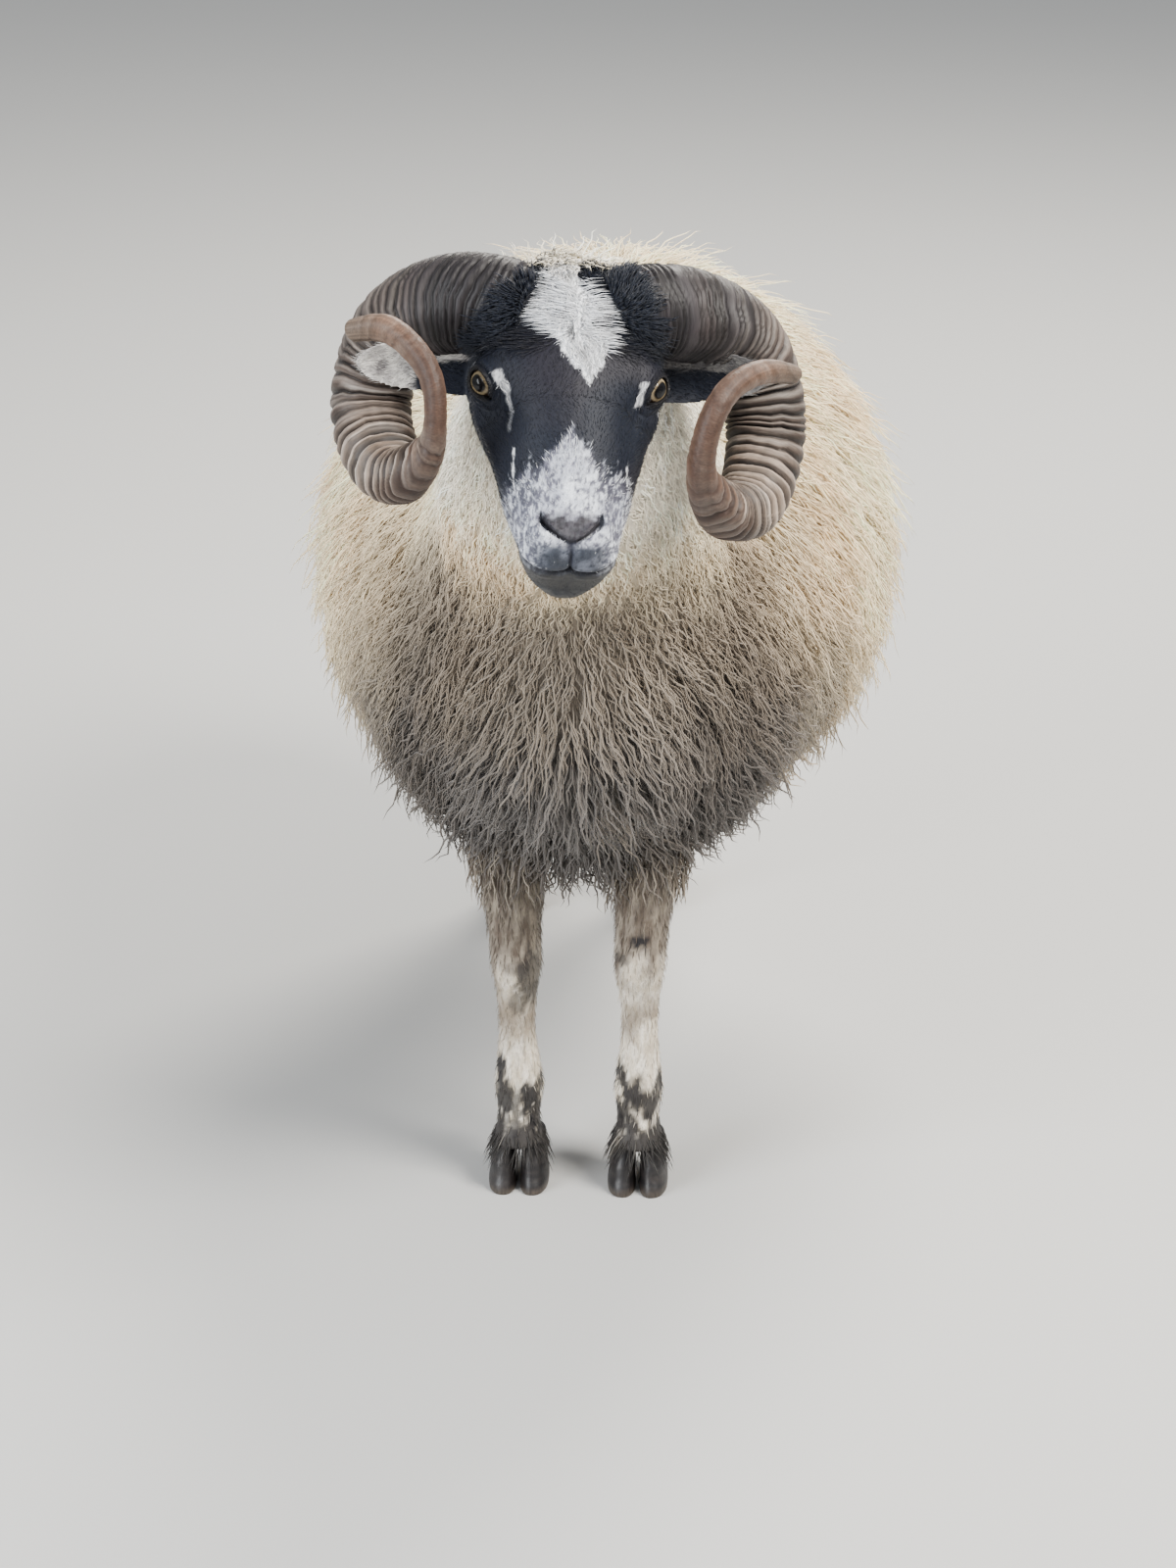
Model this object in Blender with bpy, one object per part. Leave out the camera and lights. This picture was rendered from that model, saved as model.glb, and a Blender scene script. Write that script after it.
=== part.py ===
"""A standing horned ram of a hill breed with a long fleece, life size.

Metres, +Z up. The animal faces -Y and its left side is +X. The origin is on the floor,
under the middle of the whole animal's box. While it is being modelled, the middle of the
two front feet is at the origin, and the last step moves everything.
"""

import math
import random

import bmesh
import bpy
import numpy as np
from mathutils import Matrix, Vector
from mathutils.bvhtree import BVHTree

GAP = 0.0003
SEED = 7

# Fleece: depth from the skin to the tips, and how much of it the core fills.
BODY_WOOL = 0.070
NECK_WOOL_LOW = 0.052
NECK_WOOL_HIGH = 0.020
TAIL_WOOL = 0.022
CORE_SHARE = 0.5

# Locks: distance between roots, width, thickness, slide along the lie, depth of the root.
BODY_LOCK = {"spacing": 0.080, "width": 0.116, "thick": 0.024, "slide": 0.100, "sink": 0.015}
TAIL_LOCK = {"spacing": 0.060, "width": 0.048, "thick": 0.014, "slide": 0.062, "sink": 0.008}
POLL_LOCK = {"width": 0.020, "thick": 0.009, "slide": 0.026, "sink": 0.006, "height": 0.008}
LOCK_FALL = Vector((0.0, 0.42, -1.0))
LOCK_PARTING = 0.30
LOCK_SPREAD = 0.28
LOCK_SWELL = 0.16
TIP_DEPTH = 0.005
# Along a lock: share of its length, of its width and of its thickness.
LOCK_SHAPE = ((0.00, 0.56, 0.90), (0.48, 1.00, 1.00), (0.82, 0.60, 0.70))
# Poll locks: place on the head along F and L, and direction in degrees from straight down the face.
POLL_LOCKS = (
    (-0.012, 0.000, 2),
    (0.006, 0.001, -3),
    (0.024, -0.001, 2),
    (0.042, 0.000, -2),
    (0.058, -0.013, -18),
    (0.057, 0.013, 18),
    (0.078, 0.000, 2),
)
BODY_SEGMENTS = 18
NECK_SEGMENTS = 14

# Torso skin, from the chest to the rump: along Y, half width, top and bottom height, and
# how square its under side is.
TORSO_STATIONS = (
    (-0.072, 0.078, 0.580, 0.424, 1.9),
    (-0.020, 0.114, 0.625, 0.362, 1.9),
    (0.060, 0.137, 0.652, 0.336, 2.0),
    (0.170, 0.166, 0.664, 0.326, 2.3),
    (0.300, 0.200, 0.670, 0.320, 2.6),
    (0.440, 0.217, 0.674, 0.322, 2.7),
    (0.550, 0.204, 0.674, 0.345, 2.5),
    (0.622, 0.160, 0.655, 0.400, 2.2),
)
TORSO_CHEST_CAP = 0.034
TORSO_RUMP_CAP = 0.048
TORSO_X = 0.004
# Height of the widest line, as a share of the depth from below.
TORSO_WAIST = 0.42
TORSO_POWER_ABOVE = 1.85

# Neck skin, from inside the shoulders to the nape: centre X, Y, Z, half width, half depth.
NECK_STATIONS = (
    (0.003, 0.150, 0.530, 0.100, 0.095),
    (0.003, 0.035, 0.585, 0.108, 0.132),
    (0.004, -0.075, 0.690, 0.086, 0.110),
    (0.006, -0.150, 0.772, 0.066, 0.082),
    (0.009, -0.228, 0.832, 0.056, 0.062),
)
NECK_CAP = 0.020

# Head: its frame sits on the poll, F runs down the face, U up from it, L to the left.
POLL = Vector((0.0067, -0.235, 0.9115))
FACE_SLOPE = math.radians(38)
HEAD_TURN = math.radians(7.5)
HEAD_ROLL = math.radians(3.6)
# Along F: half width, top and bottom along U.
HEAD_STATIONS = (
    (-0.040, 0.046, -0.034, -0.098),
    (0.000, 0.060, -0.002, -0.120),
    (0.040, 0.067, 0.007, -0.131),
    (0.080, 0.068, 0.009, -0.131),
    (0.120, 0.064, 0.005, -0.124),
    (0.160, 0.055, -0.004, -0.115),
    (0.200, 0.046, -0.016, -0.108),
    (0.230, 0.041, -0.028, -0.105),
)
HEAD_NAPE_CAP = 0.028
MUZZLE_CAP = 0.025
MUZZLE_CAP_POWER = 2.6
HEAD_POWER = 2.35
HEAD_NARROW_BELOW = 0.20
HEAD_NARROW_ABOVE = 0.16
HEAD_RINGS = 18
HEAD_SEGMENTS = 24
# Swellings and hollows of the head: place along F, U and L, reach and height.
HEAD_FORMS = (
    ("brow", 0.092, -0.012, 0.064, 0.024, 0.0125),
    ("cheek_bone", 0.114, -0.054, 0.058, 0.022, 0.0050),
    ("jaw_muscle", 0.074, -0.092, 0.056, 0.036, 0.0085),
    ("tear_hollow", 0.138, -0.026, 0.050, 0.017, -0.0040),
    ("temple", 0.055, -0.035, 0.066, 0.018, -0.0030),
    ("nostril_wing", 0.236, -0.032, 0.023, 0.011, 0.0045),
    ("upper_lip", 0.246, -0.060, 0.018, 0.013, 0.0040),
    ("chin", 0.242, -0.094, 0.000, 0.015, 0.0045),
)

EYE_AT = (0.103, -0.029, 0.0612)
EYE_RADIUS = 0.0135
LID_THICKNESS = 0.0024
LID_OPENING = (0.0118, 0.0088)
EYE_GAZE = (0.52, 0.56, 0.645)
EYE_SLANT = math.radians(-12)

MOUTH_HEIGHT = -0.070
MOUTH_CORNER = 0.180
MOUTH_SLIT = 0.0018
MOUTH_DEPTH = 0.0045
MOUTH_RISE = 0.004
# Routes across the front of the muzzle: places along L and U.
NOSTRIL_ROUTE = ((0.0245, -0.029), (0.0230, -0.036), (0.0160, -0.043), (0.0065, -0.0475))
NOSTRIL_RADII = (0.0018, 0.0030, 0.0026, 0.0014)
PHILTRUM_ROUTE = ((0.0, -0.049), (0.0, -0.058), (0.0, -0.0695))
PHILTRUM_RADII = (0.0016, 0.0012, 0.0014)

# Ears, in the head frame: root and tip at F, U, L.
EAR_ROOT = (0.060, -0.066, 0.050)
EAR_TIP = (0.066, -0.058, 0.160)
EAR_HALF_WIDTH = 0.0210
EAR_FACING = (0.79, 0.45)
EAR_THICKNESS = 0.0045
EAR_CUP = 0.55
EAR_DROOP = 0.006
EAR_RINGS = (0, 0.12, 0.26, 0.4, 0.54, 0.68, 0.8, 0.89, 0.95, 1.0)
# Half width along the ear, as a share of the full one.
EAR_OUTLINE = (
    (0.00, 0.92),
    (0.15, 1.02),
    (0.40, 1.06),
    (0.62, 1.00),
    (0.82, 0.80),
    (0.94, 0.50),
    (1.00, 0.16),
)

# Horns, round a hub beside the eyes, which differ a little, left 1 and right -1: turn in
# degrees from straight up and back, distance out from the middle of the head, distance from
# the hub, how much lower it hangs, half width along that distance and half width across it.
HORN_HUB = (0.1000, -0.0265)
HORN_BACK = 0.025
HORN_DOWN = 0.010
HORN_LEAN = math.radians(15.6)
HORN_STATIONS = {
    1: (
        (-14, 0.030, 0.0580, 0.0000, 0.0215, 0.0200),
        (4, 0.066, 0.0635, 0.0000, 0.0345, 0.0305),
        (45, 0.136, 0.0700, 0.0000, 0.0320, 0.0310),
        (90, 0.1645, 0.0770, 0.0030, 0.0290, 0.0310),
        (150, 0.1529, 0.0740, 0.0107, 0.0245, 0.0265),
        (200, 0.1205, 0.0760, 0.0110, 0.0185, 0.0190),
        (245, 0.0983, 0.0820, 0.0110, 0.0145, 0.0105),
        (285, 0.1188, 0.0770, 0.0110, 0.0118, 0.0095),
        (305, 0.1474, 0.0670, 0.0160, 0.0092, 0.0085),
        (318, 0.1696, 0.0580, 0.0220, 0.0072, 0.0070),
    ),
    -1: (
        (-14, 0.030, 0.0615, 0.0020, 0.0215, 0.0200),
        (4, 0.066, 0.0665, 0.0020, 0.0360, 0.0305),
        (45, 0.1245, 0.0715, 0.0020, 0.0335, 0.0315),
        (90, 0.1450, 0.0695, 0.0020, 0.0290, 0.0310),
        (150, 0.1355, 0.0640, 0.0020, 0.0250, 0.0275),
        (200, 0.1195, 0.0666, 0.0020, 0.0185, 0.0180),
        (245, 0.1029, 0.0709, 0.0020, 0.0140, 0.0090),
        (285, 0.1156, 0.0666, -0.0050, 0.0125, 0.0092),
        (305, 0.1429, 0.0580, -0.0100, 0.0112, 0.0092),
        (318, 0.1640, 0.0502, -0.0040, 0.0085, 0.0075),
    ),
}
HORN_SEGMENTS = 10
HORN_RINGS = 38
HORN_RIDGE = 0.0013
HORN_RIDGES = 18
HORN_KEEL = 0.10
HORN_CLEARANCE = 0.0022
HORN_SMOOTH_FROM = 0.62

# Legs, from the coronet up: offset in X and Y from the foot, height, half width, half depth.
FRONT_LEG = (
    (0.000, 0.004, 0.0430, 0.0225, 0.0260),
    (0.000, 0.008, 0.0660, 0.0185, 0.0200),
    (0.000, 0.012, 0.0950, 0.0210, 0.0240),
    (0.001, 0.008, 0.1450, 0.0160, 0.0180),
    (0.001, 0.004, 0.1850, 0.0175, 0.0200),
    (0.001, 0.000, 0.2150, 0.0220, 0.0245),
    (0.003, 0.006, 0.2550, 0.0235, 0.0270),
    (0.007, 0.016, 0.3100, 0.0290, 0.0380),
    (0.014, 0.030, 0.3700, 0.0360, 0.0550),
    (0.024, 0.045, 0.4400, 0.0440, 0.0700),
)
HIND_LEG = (
    (0.000, 0.004, 0.0430, 0.0225, 0.0260),
    (0.000, 0.010, 0.0660, 0.0185, 0.0200),
    (0.000, 0.018, 0.0950, 0.0215, 0.0245),
    (0.001, 0.026, 0.1500, 0.0165, 0.0200),
    (0.002, 0.032, 0.2000, 0.0175, 0.0220),
    (0.003, 0.038, 0.2450, 0.0215, 0.0310),
    (0.007, 0.020, 0.2900, 0.0255, 0.0350),
    (0.022, -0.028, 0.3700, 0.0430, 0.0660),
    (0.045, -0.062, 0.4600, 0.0620, 0.0960),
)
FRONT_FOOT_X = 0.0535
HIND_FEET_X = {"left": 0.035, "right": -0.098}
HIND_FOOT_Y = 0.645
LEG_SEGMENTS = 12
LEG_TOP = {"front": 0.315, "hind": 0.380}
HOOF_TOP = 0.0427
HOOF_LENGTH = 0.062
HOOF_WIDTH = 0.0255
HOOF_CLEFT = 0.0032
HOOF_SLOPE = 0.018
HOOF_FORWARD = 0.004
# Dewclaws, two behind each fetlock: half sizes, and their place from the back of the fetlock.
DEWCLAW = (0.0062, 0.0070, 0.0110)
DEWCLAW_APART = 0.0095
DEWCLAW_BACK = -0.0020
DEWCLAW_UP = -0.0080
DEWCLAW_TILT = math.radians(22)
FETLOCK = 2

# Tail: centre Y and Z and radius of its skin; it hangs just outside the fleece.
TAIL_STATIONS = (
    (0.640, 0.628, 0.0190),
    (0.700, 0.622, 0.0180),
    (0.752, 0.580, 0.0165),
    (0.776, 0.500, 0.0150),
    (0.778, 0.410, 0.0130),
    (0.772, 0.340, 0.0105),
)
TAIL_CAP = 0.012
TAIL_SPLIT_Y = 0.7
TAIL_CLEARANCE = 0.013

NECK_PLANE = (Vector((0, -0.040, 0.655)), Vector((0, -0.60, 0.80)))
HEAD_PLANE = (Vector((0, -0.200, 0.830)), Vector((0, -1.0, 0.10)))

BIG = 2.0


# Plain curves and rings

def spline(stations, at):
    """Rows of numbers read along their first column by a smooth curve through them."""
    table = np.array(stations, float)
    x, y = table[:, 0], table[:, 1:]
    slopes = np.gradient(y, x, axis=0)
    at = np.clip(np.atleast_1d(at), x[0], x[-1])
    i = np.clip(np.searchsorted(x, at, side="right") - 1, 0, len(x) - 2)
    h = (x[i + 1] - x[i])[:, None]
    s = ((at - x[i])[:, None]) / h
    return (
        y[i] * (2 * s**3 - 3 * s**2 + 1)
        + y[i + 1] * (-2 * s**3 + 3 * s**2)
        + slopes[i] * h * (s**3 - 2 * s**2 + s)
        + slopes[i + 1] * h * (s**3 - s**2)
    )


def capped(stations, start_cap, end_cap, count, power=2.0):
    """Positions along a table of stations and shares of full size, with rounded ends."""
    first, last = stations[0][0], stations[-1][0]
    rows = []
    cap_steps = (0.12, 0.42, 0.72, 0.92)
    if start_cap:
        for step in reversed(cap_steps):
            share = (1 - step**power) ** (1 / power)
            rows.append((first, -start_cap * step, share))
    for k in range(count):
        rows.append((first + (last - first) * k / (count - 1), 0.0, 1.0))
    if end_cap:
        for step in cap_steps:
            share = (1 - step**power) ** (1 / power)
            rows.append((last, end_cap * step, share))
    return rows


def superellipse(angle, power):
    c, s = math.cos(angle), math.sin(angle)
    x = math.copysign(abs(c) ** (2 / power), c)
    y = math.copysign(abs(s) ** (2 / power), s)
    return x, y


def mesh_object(name, verts, faces):
    mesh = bpy.data.meshes.new(name)
    mesh.from_pydata([tuple(v) for v in verts], [], faces)
    tidy = bmesh.new()
    tidy.from_mesh(mesh)
    bmesh.ops.recalc_face_normals(tidy, faces=tidy.faces)
    tidy.to_mesh(mesh)
    tidy.free()
    obj = bpy.data.objects.new(name, mesh)
    bpy.context.scene.collection.objects.link(obj)
    mesh.shade_smooth()
    return obj


def skin_over(name, rings, start=None, end=None):
    """A closed mesh over rings of equally many points, with a pole or a flat end each way."""
    count = len(rings[0])
    verts = [p for ring in rings for p in ring]
    faces = []
    for r in range(len(rings) - 1):
        for k in range(count):
            a, b = r * count + k, r * count + (k + 1) % count
            faces.append((a, b, b + count, a + count))
    for pole, base in ((start, 0), (end, (len(rings) - 1) * count)):
        if pole is None:
            faces.append(tuple(base + k for k in range(count)))
            continue
        verts.append(pole)
        top = len(verts) - 1
        faces.extend((base + k, base + (k + 1) % count, top) for k in range(count))
    return mesh_object(name, verts, faces)


def ball(name, radius, segments=12, rings=8):
    mesh = bpy.data.meshes.new(name)
    bm = bmesh.new()
    bmesh.ops.create_uvsphere(bm, u_segments=segments, v_segments=rings, radius=radius)
    bm.to_mesh(mesh)
    bm.free()
    mesh.shade_smooth()
    obj = bpy.data.objects.new(name, mesh)
    bpy.context.scene.collection.objects.link(obj)
    return obj


def pushed_out(obj, distance):
    """The object's mesh moved out along its own normals, to clear a neighbour."""
    mesh = obj.data
    normals = [v.normal.copy() for v in mesh.vertices]
    for vertex, normal in zip(mesh.vertices, normals):
        vertex.co += normal * distance
    return obj


def copy_of(obj, name):
    twin = bpy.data.objects.new(name, obj.data.copy())
    bpy.context.scene.collection.objects.link(twin)
    return twin


# Joining and cutting

def applied(obj):
    graph = bpy.context.evaluated_depsgraph_get()
    mesh = bpy.data.meshes.new_from_object(obj.evaluated_get(graph))
    old = obj.data
    obj.modifiers.clear()
    obj.data = mesh
    bpy.data.meshes.remove(old)
    return obj


def islands(bm):
    left = set(bm.faces)
    found = []
    while left:
        stack, island = [left.pop()], []
        while stack:
            face = stack.pop()
            island.append(face)
            for edge in face.edges:
                for other in edge.link_faces:
                    if other in left:
                        left.discard(other)
                        stack.append(other)
        found.append(island)
    return found


def keep_largest(obj):
    """Keeps the largest closed surface, so that no scrap and no sealed hollow is left."""
    bm = bmesh.new()
    bm.from_mesh(obj.data)
    bmesh.ops.triangulate(bm, faces=bm.faces)
    parts = sorted(islands(bm), key=len)
    for island in parts[:-1]:
        bmesh.ops.delete(bm, geom=island, context="FACES")
    loose = [v for v in bm.verts if not v.link_faces]
    bmesh.ops.delete(bm, geom=loose, context="VERTS")
    bm.to_mesh(obj.data)
    bm.free()
    return obj


def boolean(obj, operation, others):
    """One Boolean of a collection of closed meshes, which are then removed."""
    if not others:
        return obj
    group = bpy.data.collections.new("tools")
    bpy.context.scene.collection.children.link(group)
    for other in others:
        bpy.context.scene.collection.objects.unlink(other)
        group.objects.link(other)
    modifier = obj.modifiers.new(operation.lower(), "BOOLEAN")
    modifier.operation = operation
    modifier.operand_type = "COLLECTION"
    modifier.collection = group
    modifier.solver = "MANIFOLD"
    applied(obj)
    for other in others:
        bpy.data.objects.remove(other)
    bpy.data.collections.remove(group)
    return keep_largest(obj)


def slab(name, point, normal, gap):
    """A big block that fills the side of a plane that its normal points to."""
    bm = bmesh.new()
    bmesh.ops.create_cube(bm, size=2 * BIG)
    turn = normal.to_track_quat("Z", "Y").to_matrix().to_4x4()
    middle = point + normal.normalized() * (BIG + gap)
    bmesh.ops.transform(bm, matrix=Matrix.Translation(middle) @ turn, verts=bm.verts)
    mesh = bpy.data.meshes.new(name)
    bm.to_mesh(mesh)
    bm.free()
    obj = bpy.data.objects.new(name, mesh)
    bpy.context.scene.collection.objects.link(obj)
    return obj


def cut_beyond(obj, point, normal):
    return boolean(obj, "DIFFERENCE", [slab("block", point, normal, -GAP / 2)])


def material(name, color, roughness):
    made = bpy.data.materials.new(name)
    made.use_nodes = True
    shader = made.node_tree.nodes["Principled BSDF"]
    shader.inputs["Base Color"].default_value = (*color, 1)
    shader.inputs["Roughness"].default_value = roughness
    shader.inputs["Metallic"].default_value = 0
    return made


def finished(obj, name, look):
    obj.name = name
    obj.data.name = name
    obj.data.materials.clear()
    obj.data.materials.append(look)
    obj.data.shade_smooth()
    obj.data.set_sharp_from_angle(angle=math.radians(40))
    return obj


# Head frame

def head_matrix():
    """From the head frame, with L, -F and U as its axes, to the animal's."""
    face = Matrix.Rotation(FACE_SLOPE, 4, "X")
    turn = Matrix.Rotation(HEAD_TURN, 4, "Z")
    roll = Matrix.Rotation(HEAD_ROLL, 4, "Y")
    return Matrix.Translation(POLL) @ turn @ roll @ face


HEAD = head_matrix()


def head_local(f, u, l):
    return Vector((l, -f, u))


# Locks

def lock(path, across, over, size, grow=1.0):
    """A flat, tapered lock: diamond rings along its path, and a pointed tip."""
    rings = []
    for middle, (_, wide, thick) in zip(path, LOCK_SHAPE):
        half = across * size["width"] * wide * grow / 2
        deep = over * size["thick"] * thick / 2
        rings.append([middle + half, middle + deep, middle - half, middle - deep])
    return skin_over("lock", rings, None, path[-1])


def spread_points(obj, spacing, rng):
    """Places on a mesh about evenly apart, each with the surface's direction there."""
    mesh = obj.data
    areas = [p.area for p in mesh.polygons]
    total = sum(areas)
    bounds = np.cumsum(areas)
    kept = []
    for _ in range(int(14 * total / spacing**2)):
        face = mesh.polygons[int(np.searchsorted(bounds, rng.random() * total))]
        corners = [mesh.vertices[v].co for v in face.vertices]
        n = rng.randrange(1, len(corners) - 1)
        a, b = sorted((rng.random(), rng.random()))
        point = corners[0] * a + corners[n] * (b - a) + corners[n + 1] * (1 - b)
        if all((point - other).length > spacing for other, _ in kept):
            kept.append((point, face.normal.copy()))
    return kept


def lie_of_coat(point, normal):
    """The way the wool falls at a place: parted along the back, down and a little back."""
    side = math.copysign(1, point.x - TORSO_X) * min(1, abs(point.x - TORSO_X) / 0.03)
    fall = LOCK_FALL + Vector((LOCK_PARTING * side, 0, 0))
    return (fall - normal * fall.dot(normal)).normalized()


def coat_locks(core, outer, size, rng):
    """Locks rooted in the core, whose tips reach the outer form."""
    tree = BVHTree.FromPolygons(
        [v.co.copy() for v in outer.data.vertices],
        [tuple(p.vertices) for p in outer.data.polygons],
    )
    made = []
    for point, normal in spread_points(core, size["spacing"], rng):
        lie = lie_of_coat(point, normal)
        turn = Matrix.Rotation(rng.uniform(-LOCK_SPREAD, LOCK_SPREAD), 3, normal)
        lie = turn @ lie
        slide = size["slide"] * rng.uniform(0.85, 1.2)
        surface, facing, _, _ = tree.find_nearest(point + normal * 0.03 + lie * slide)
        tip = surface - facing * rng.uniform(0.0, TIP_DEPTH)
        start = point - normal * size["sink"]
        rise = tip - point
        path = [start]
        for share, _, _ in LOCK_SHAPE[1:]:
            swell = normal * rise.length * LOCK_SWELL * math.sin(math.pi * share)
            path.append(start.lerp(tip, share) + swell)
        path.append(tip)
        along = (tip - start).normalized()
        across = normal.cross(along).normalized()
        over = along.cross(across)
        made.append(lock(path, across, over, size, rng.uniform(0.85, 1.12)))
    return made


# Torso, neck, tail and legs

def torso_ring(y, shift, share, wool):
    half, top, bottom, below = spline(TORSO_STATIONS, y)[0]
    waist = bottom + (top - bottom) * TORSO_WAIST
    ring = []
    for k in range(BODY_SEGMENTS):
        angle = 2 * math.pi * k / BODY_SEGMENTS
        power = TORSO_POWER_ABOVE if angle < math.pi else below
        x, z = superellipse(angle, power)
        reach = (top - waist) if z >= 0 else (waist - bottom)
        across = TORSO_X + x * (half + wool) * share
        ring.append(Vector((across, y + shift, waist + z * (reach + wool) * share)))
    return ring


def torso(wool, count=12):
    rows = capped(TORSO_STATIONS, TORSO_CHEST_CAP + wool, TORSO_RUMP_CAP + wool, count)
    rings = [torso_ring(y, shift, share, wool) for y, shift, share in rows]
    front, back = TORSO_STATIONS[0], TORSO_STATIONS[-1]
    ends = []
    for row, side, cap in ((front, -1, TORSO_CHEST_CAP), (back, 1, TORSO_RUMP_CAP)):
        waist = row[3] + (row[2] - row[3]) * TORSO_WAIST
        ends.append(Vector((TORSO_X, row[0] + side * (cap + wool), waist)))
    return skin_over("torso", rings, *ends)


def tube_frames(points, up):
    """At each point of a route, the direction along it and two directions across it."""
    frames = []
    for k, point in enumerate(points):
        ahead = points[min(k + 1, len(points) - 1)] - points[max(k - 1, 0)]
        along = ahead.normalized()
        guide = up(k) if callable(up) else up
        over = (guide - along * guide.dot(along)).normalized()
        side = over.cross(along).normalized()
        frames.append((point, along, over, side))
    return frames


def station_route(stations, rows, places):
    """Centres and sizes along a table, with the rounded ends laid along the route."""
    keyed = [(k, *row) for k, row in enumerate(stations)]
    centres, sizes = [], []
    for at, shift, share in rows:
        row = spline(keyed, at)[0]
        ahead = spline(keyed, min(at + 0.05, len(stations) - 1))[0]
        behind = spline(keyed, max(at - 0.05, 0))[0]
        along = (places(ahead) - places(behind)).normalized()
        centres.append(places(row) + along * shift)
        sizes.append((row, share))
    return centres, sizes


def neck(wool_low, wool_high, count=7):
    last = len(NECK_STATIONS) - 1
    keyed = [(0,), (last,)]
    rows = capped(keyed, 0, NECK_CAP, count)
    centres, sizes = station_route(NECK_STATIONS, rows, lambda r: Vector(r[:3]))
    rings = []
    for k, (point, along, over, side) in enumerate(tube_frames(centres, Vector((0, 0.3, 1)))):
        row, share = sizes[k]
        wool = wool_low + (wool_high - wool_low) * min(1, rows[k][0] / last)
        ring = []
        for n in range(NECK_SEGMENTS):
            angle = 2 * math.pi * n / NECK_SEGMENTS
            across = side * math.cos(angle) * (row[3] + wool) * share
            ring.append(point + across + over * math.sin(angle) * (row[4] + wool) * share)
        rings.append(ring)
    return skin_over("neck", rings)


def tail(wool, count=9):
    last = len(TAIL_STATIONS) - 1
    rows = capped([(0,), (last,)], 0, TAIL_CAP + wool, count)
    centres, sizes = station_route(TAIL_STATIONS, rows, lambda r: Vector((0, r[0], r[1])))
    rings = []
    for k, (point, along, over, side) in enumerate(tube_frames(centres, Vector((0, 1, 0.2)))):
        row, share = sizes[k]
        radius = (row[2] + wool) * share
        rings.append([
            point + (side * math.cos(a) + over * math.sin(a)) * radius
            for a in (2 * math.pi * n / 10 for n in range(10))
        ])
    return skin_over("tail", rings)


def leg(stations, foot_x, foot_y, out):
    last = len(stations) - 1
    rings = []
    for k in range(last + 5):
        row = spline([(n, *r) for n, r in enumerate(stations)], last * k / (last + 4))[0]
        dx, dy, z, half, deep = row
        ring = []
        for n in range(LEG_SEGMENTS):
            x, y = superellipse(2 * math.pi * n / LEG_SEGMENTS, 2.2)
            ring.append(Vector((foot_x + out * dx + x * half, foot_y + dy + y * deep, z)))
        rings.append(ring)
    return skin_over("leg", rings)


def dewclaws(stations, foot_x, foot_y, out):
    """The two small horny knobs behind a fetlock."""
    dx, dy, height, _, deep = stations[FETLOCK]
    made = []
    for side in (1, -1):
        place = Vector((
            foot_x + out * dx + side * DEWCLAW_APART,
            foot_y + dy + deep + DEWCLAW_BACK,
            height + DEWCLAW_UP,
        ))
        knob = ball("dewclaw", 1.0, 8, 6)
        knob.data.transform(Matrix.Diagonal((*DEWCLAW, 1)))
        knob.data.transform(Matrix.Rotation(DEWCLAW_TILT, 4, "X"))
        knob.data.transform(Matrix.Translation(place))
        made.append(knob)
    return made


def claw(foot_x, foot_y, side):
    """One half of a cloven hoof: a flat sole, a sloping toe and a flat inner wall."""
    levels = ((0.0, 0.93), (0.004, 1.0), (HOOF_TOP, 0.82))
    rings = []
    for z, share in levels:
        back = HOOF_SLOPE * z / HOOF_TOP
        length, width = HOOF_LENGTH * share, HOOF_WIDTH * share
        inner = HOOF_CLEFT / 2 + 0.0012 * (1 - share) / 0.2
        ring = []
        for n in range(10):
            x, y = superellipse(2 * math.pi * n / 10, 2.4)
            across = inner + (x + 1) / 2 * width
            toe = HOOF_FORWARD * (1 - (x + 1) / 2) if y < 0 else 0.0
            ring.append(Vector((
                foot_x + side * across,
                foot_y + HOOF_FORWARD + back * 0.55 + y * length / 2 - toe,
                z,
            )))
        rings.append(ring)
    return skin_over("claw", rings)


# Head

def head_half_sizes(f):
    return spline(HEAD_STATIONS, f)[0]


def head_forms(point):
    """How far the named swellings push this point of the head out, in the head frame."""
    f, u, l = -point.y, point.z, point.x
    total = 0.0
    for _, at_f, at_u, at_l, reach, height in HEAD_FORMS:
        for side in ((1, -1) if at_l else (1,)):
            away = (f - at_f) ** 2 + (u - at_u) ** 2 + (l - side * at_l) ** 2
            total += height * math.exp(-away / (reach * reach))
    return total


def head_shell():
    """The head without eyes, mouth and nostrils, in the head frame."""
    rows = capped(HEAD_STATIONS, HEAD_NAPE_CAP, MUZZLE_CAP, HEAD_RINGS, MUZZLE_CAP_POWER)
    rings = []
    for f, shift, share in rows:
        half, top, bottom = head_half_sizes(f)
        middle = (top + bottom) / 2
        ring = []
        for n in range(HEAD_SEGMENTS):
            angle = 2 * math.pi * (n + 0.5) / HEAD_SEGMENTS
            x, z = superellipse(angle, HEAD_POWER)
            below = HEAD_NARROW_BELOW * max(0.0, -z) ** 2
            above = HEAD_NARROW_ABOVE * max(0.0, z) ** 2
            height = middle + z * (top - bottom) / 2 * share
            ring.append(head_local(f + shift, height, x * half * (1 - below - above) * share))
        rings.append(ring)
    ends = []
    for row, f in ((HEAD_STATIONS[0], HEAD_STATIONS[0][0] - HEAD_NAPE_CAP),
                   (HEAD_STATIONS[-1], HEAD_STATIONS[-1][0] + MUZZLE_CAP)):
        ends.append(head_local(f, (row[2] + row[3]) / 2, 0))
    obj = skin_over("head", rings, *ends)
    normals = [v.normal.copy() for v in obj.data.vertices]
    for vertex, normal in zip(obj.data.vertices, normals):
        vertex.co += normal * head_forms(vertex.co)
    return obj


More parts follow.
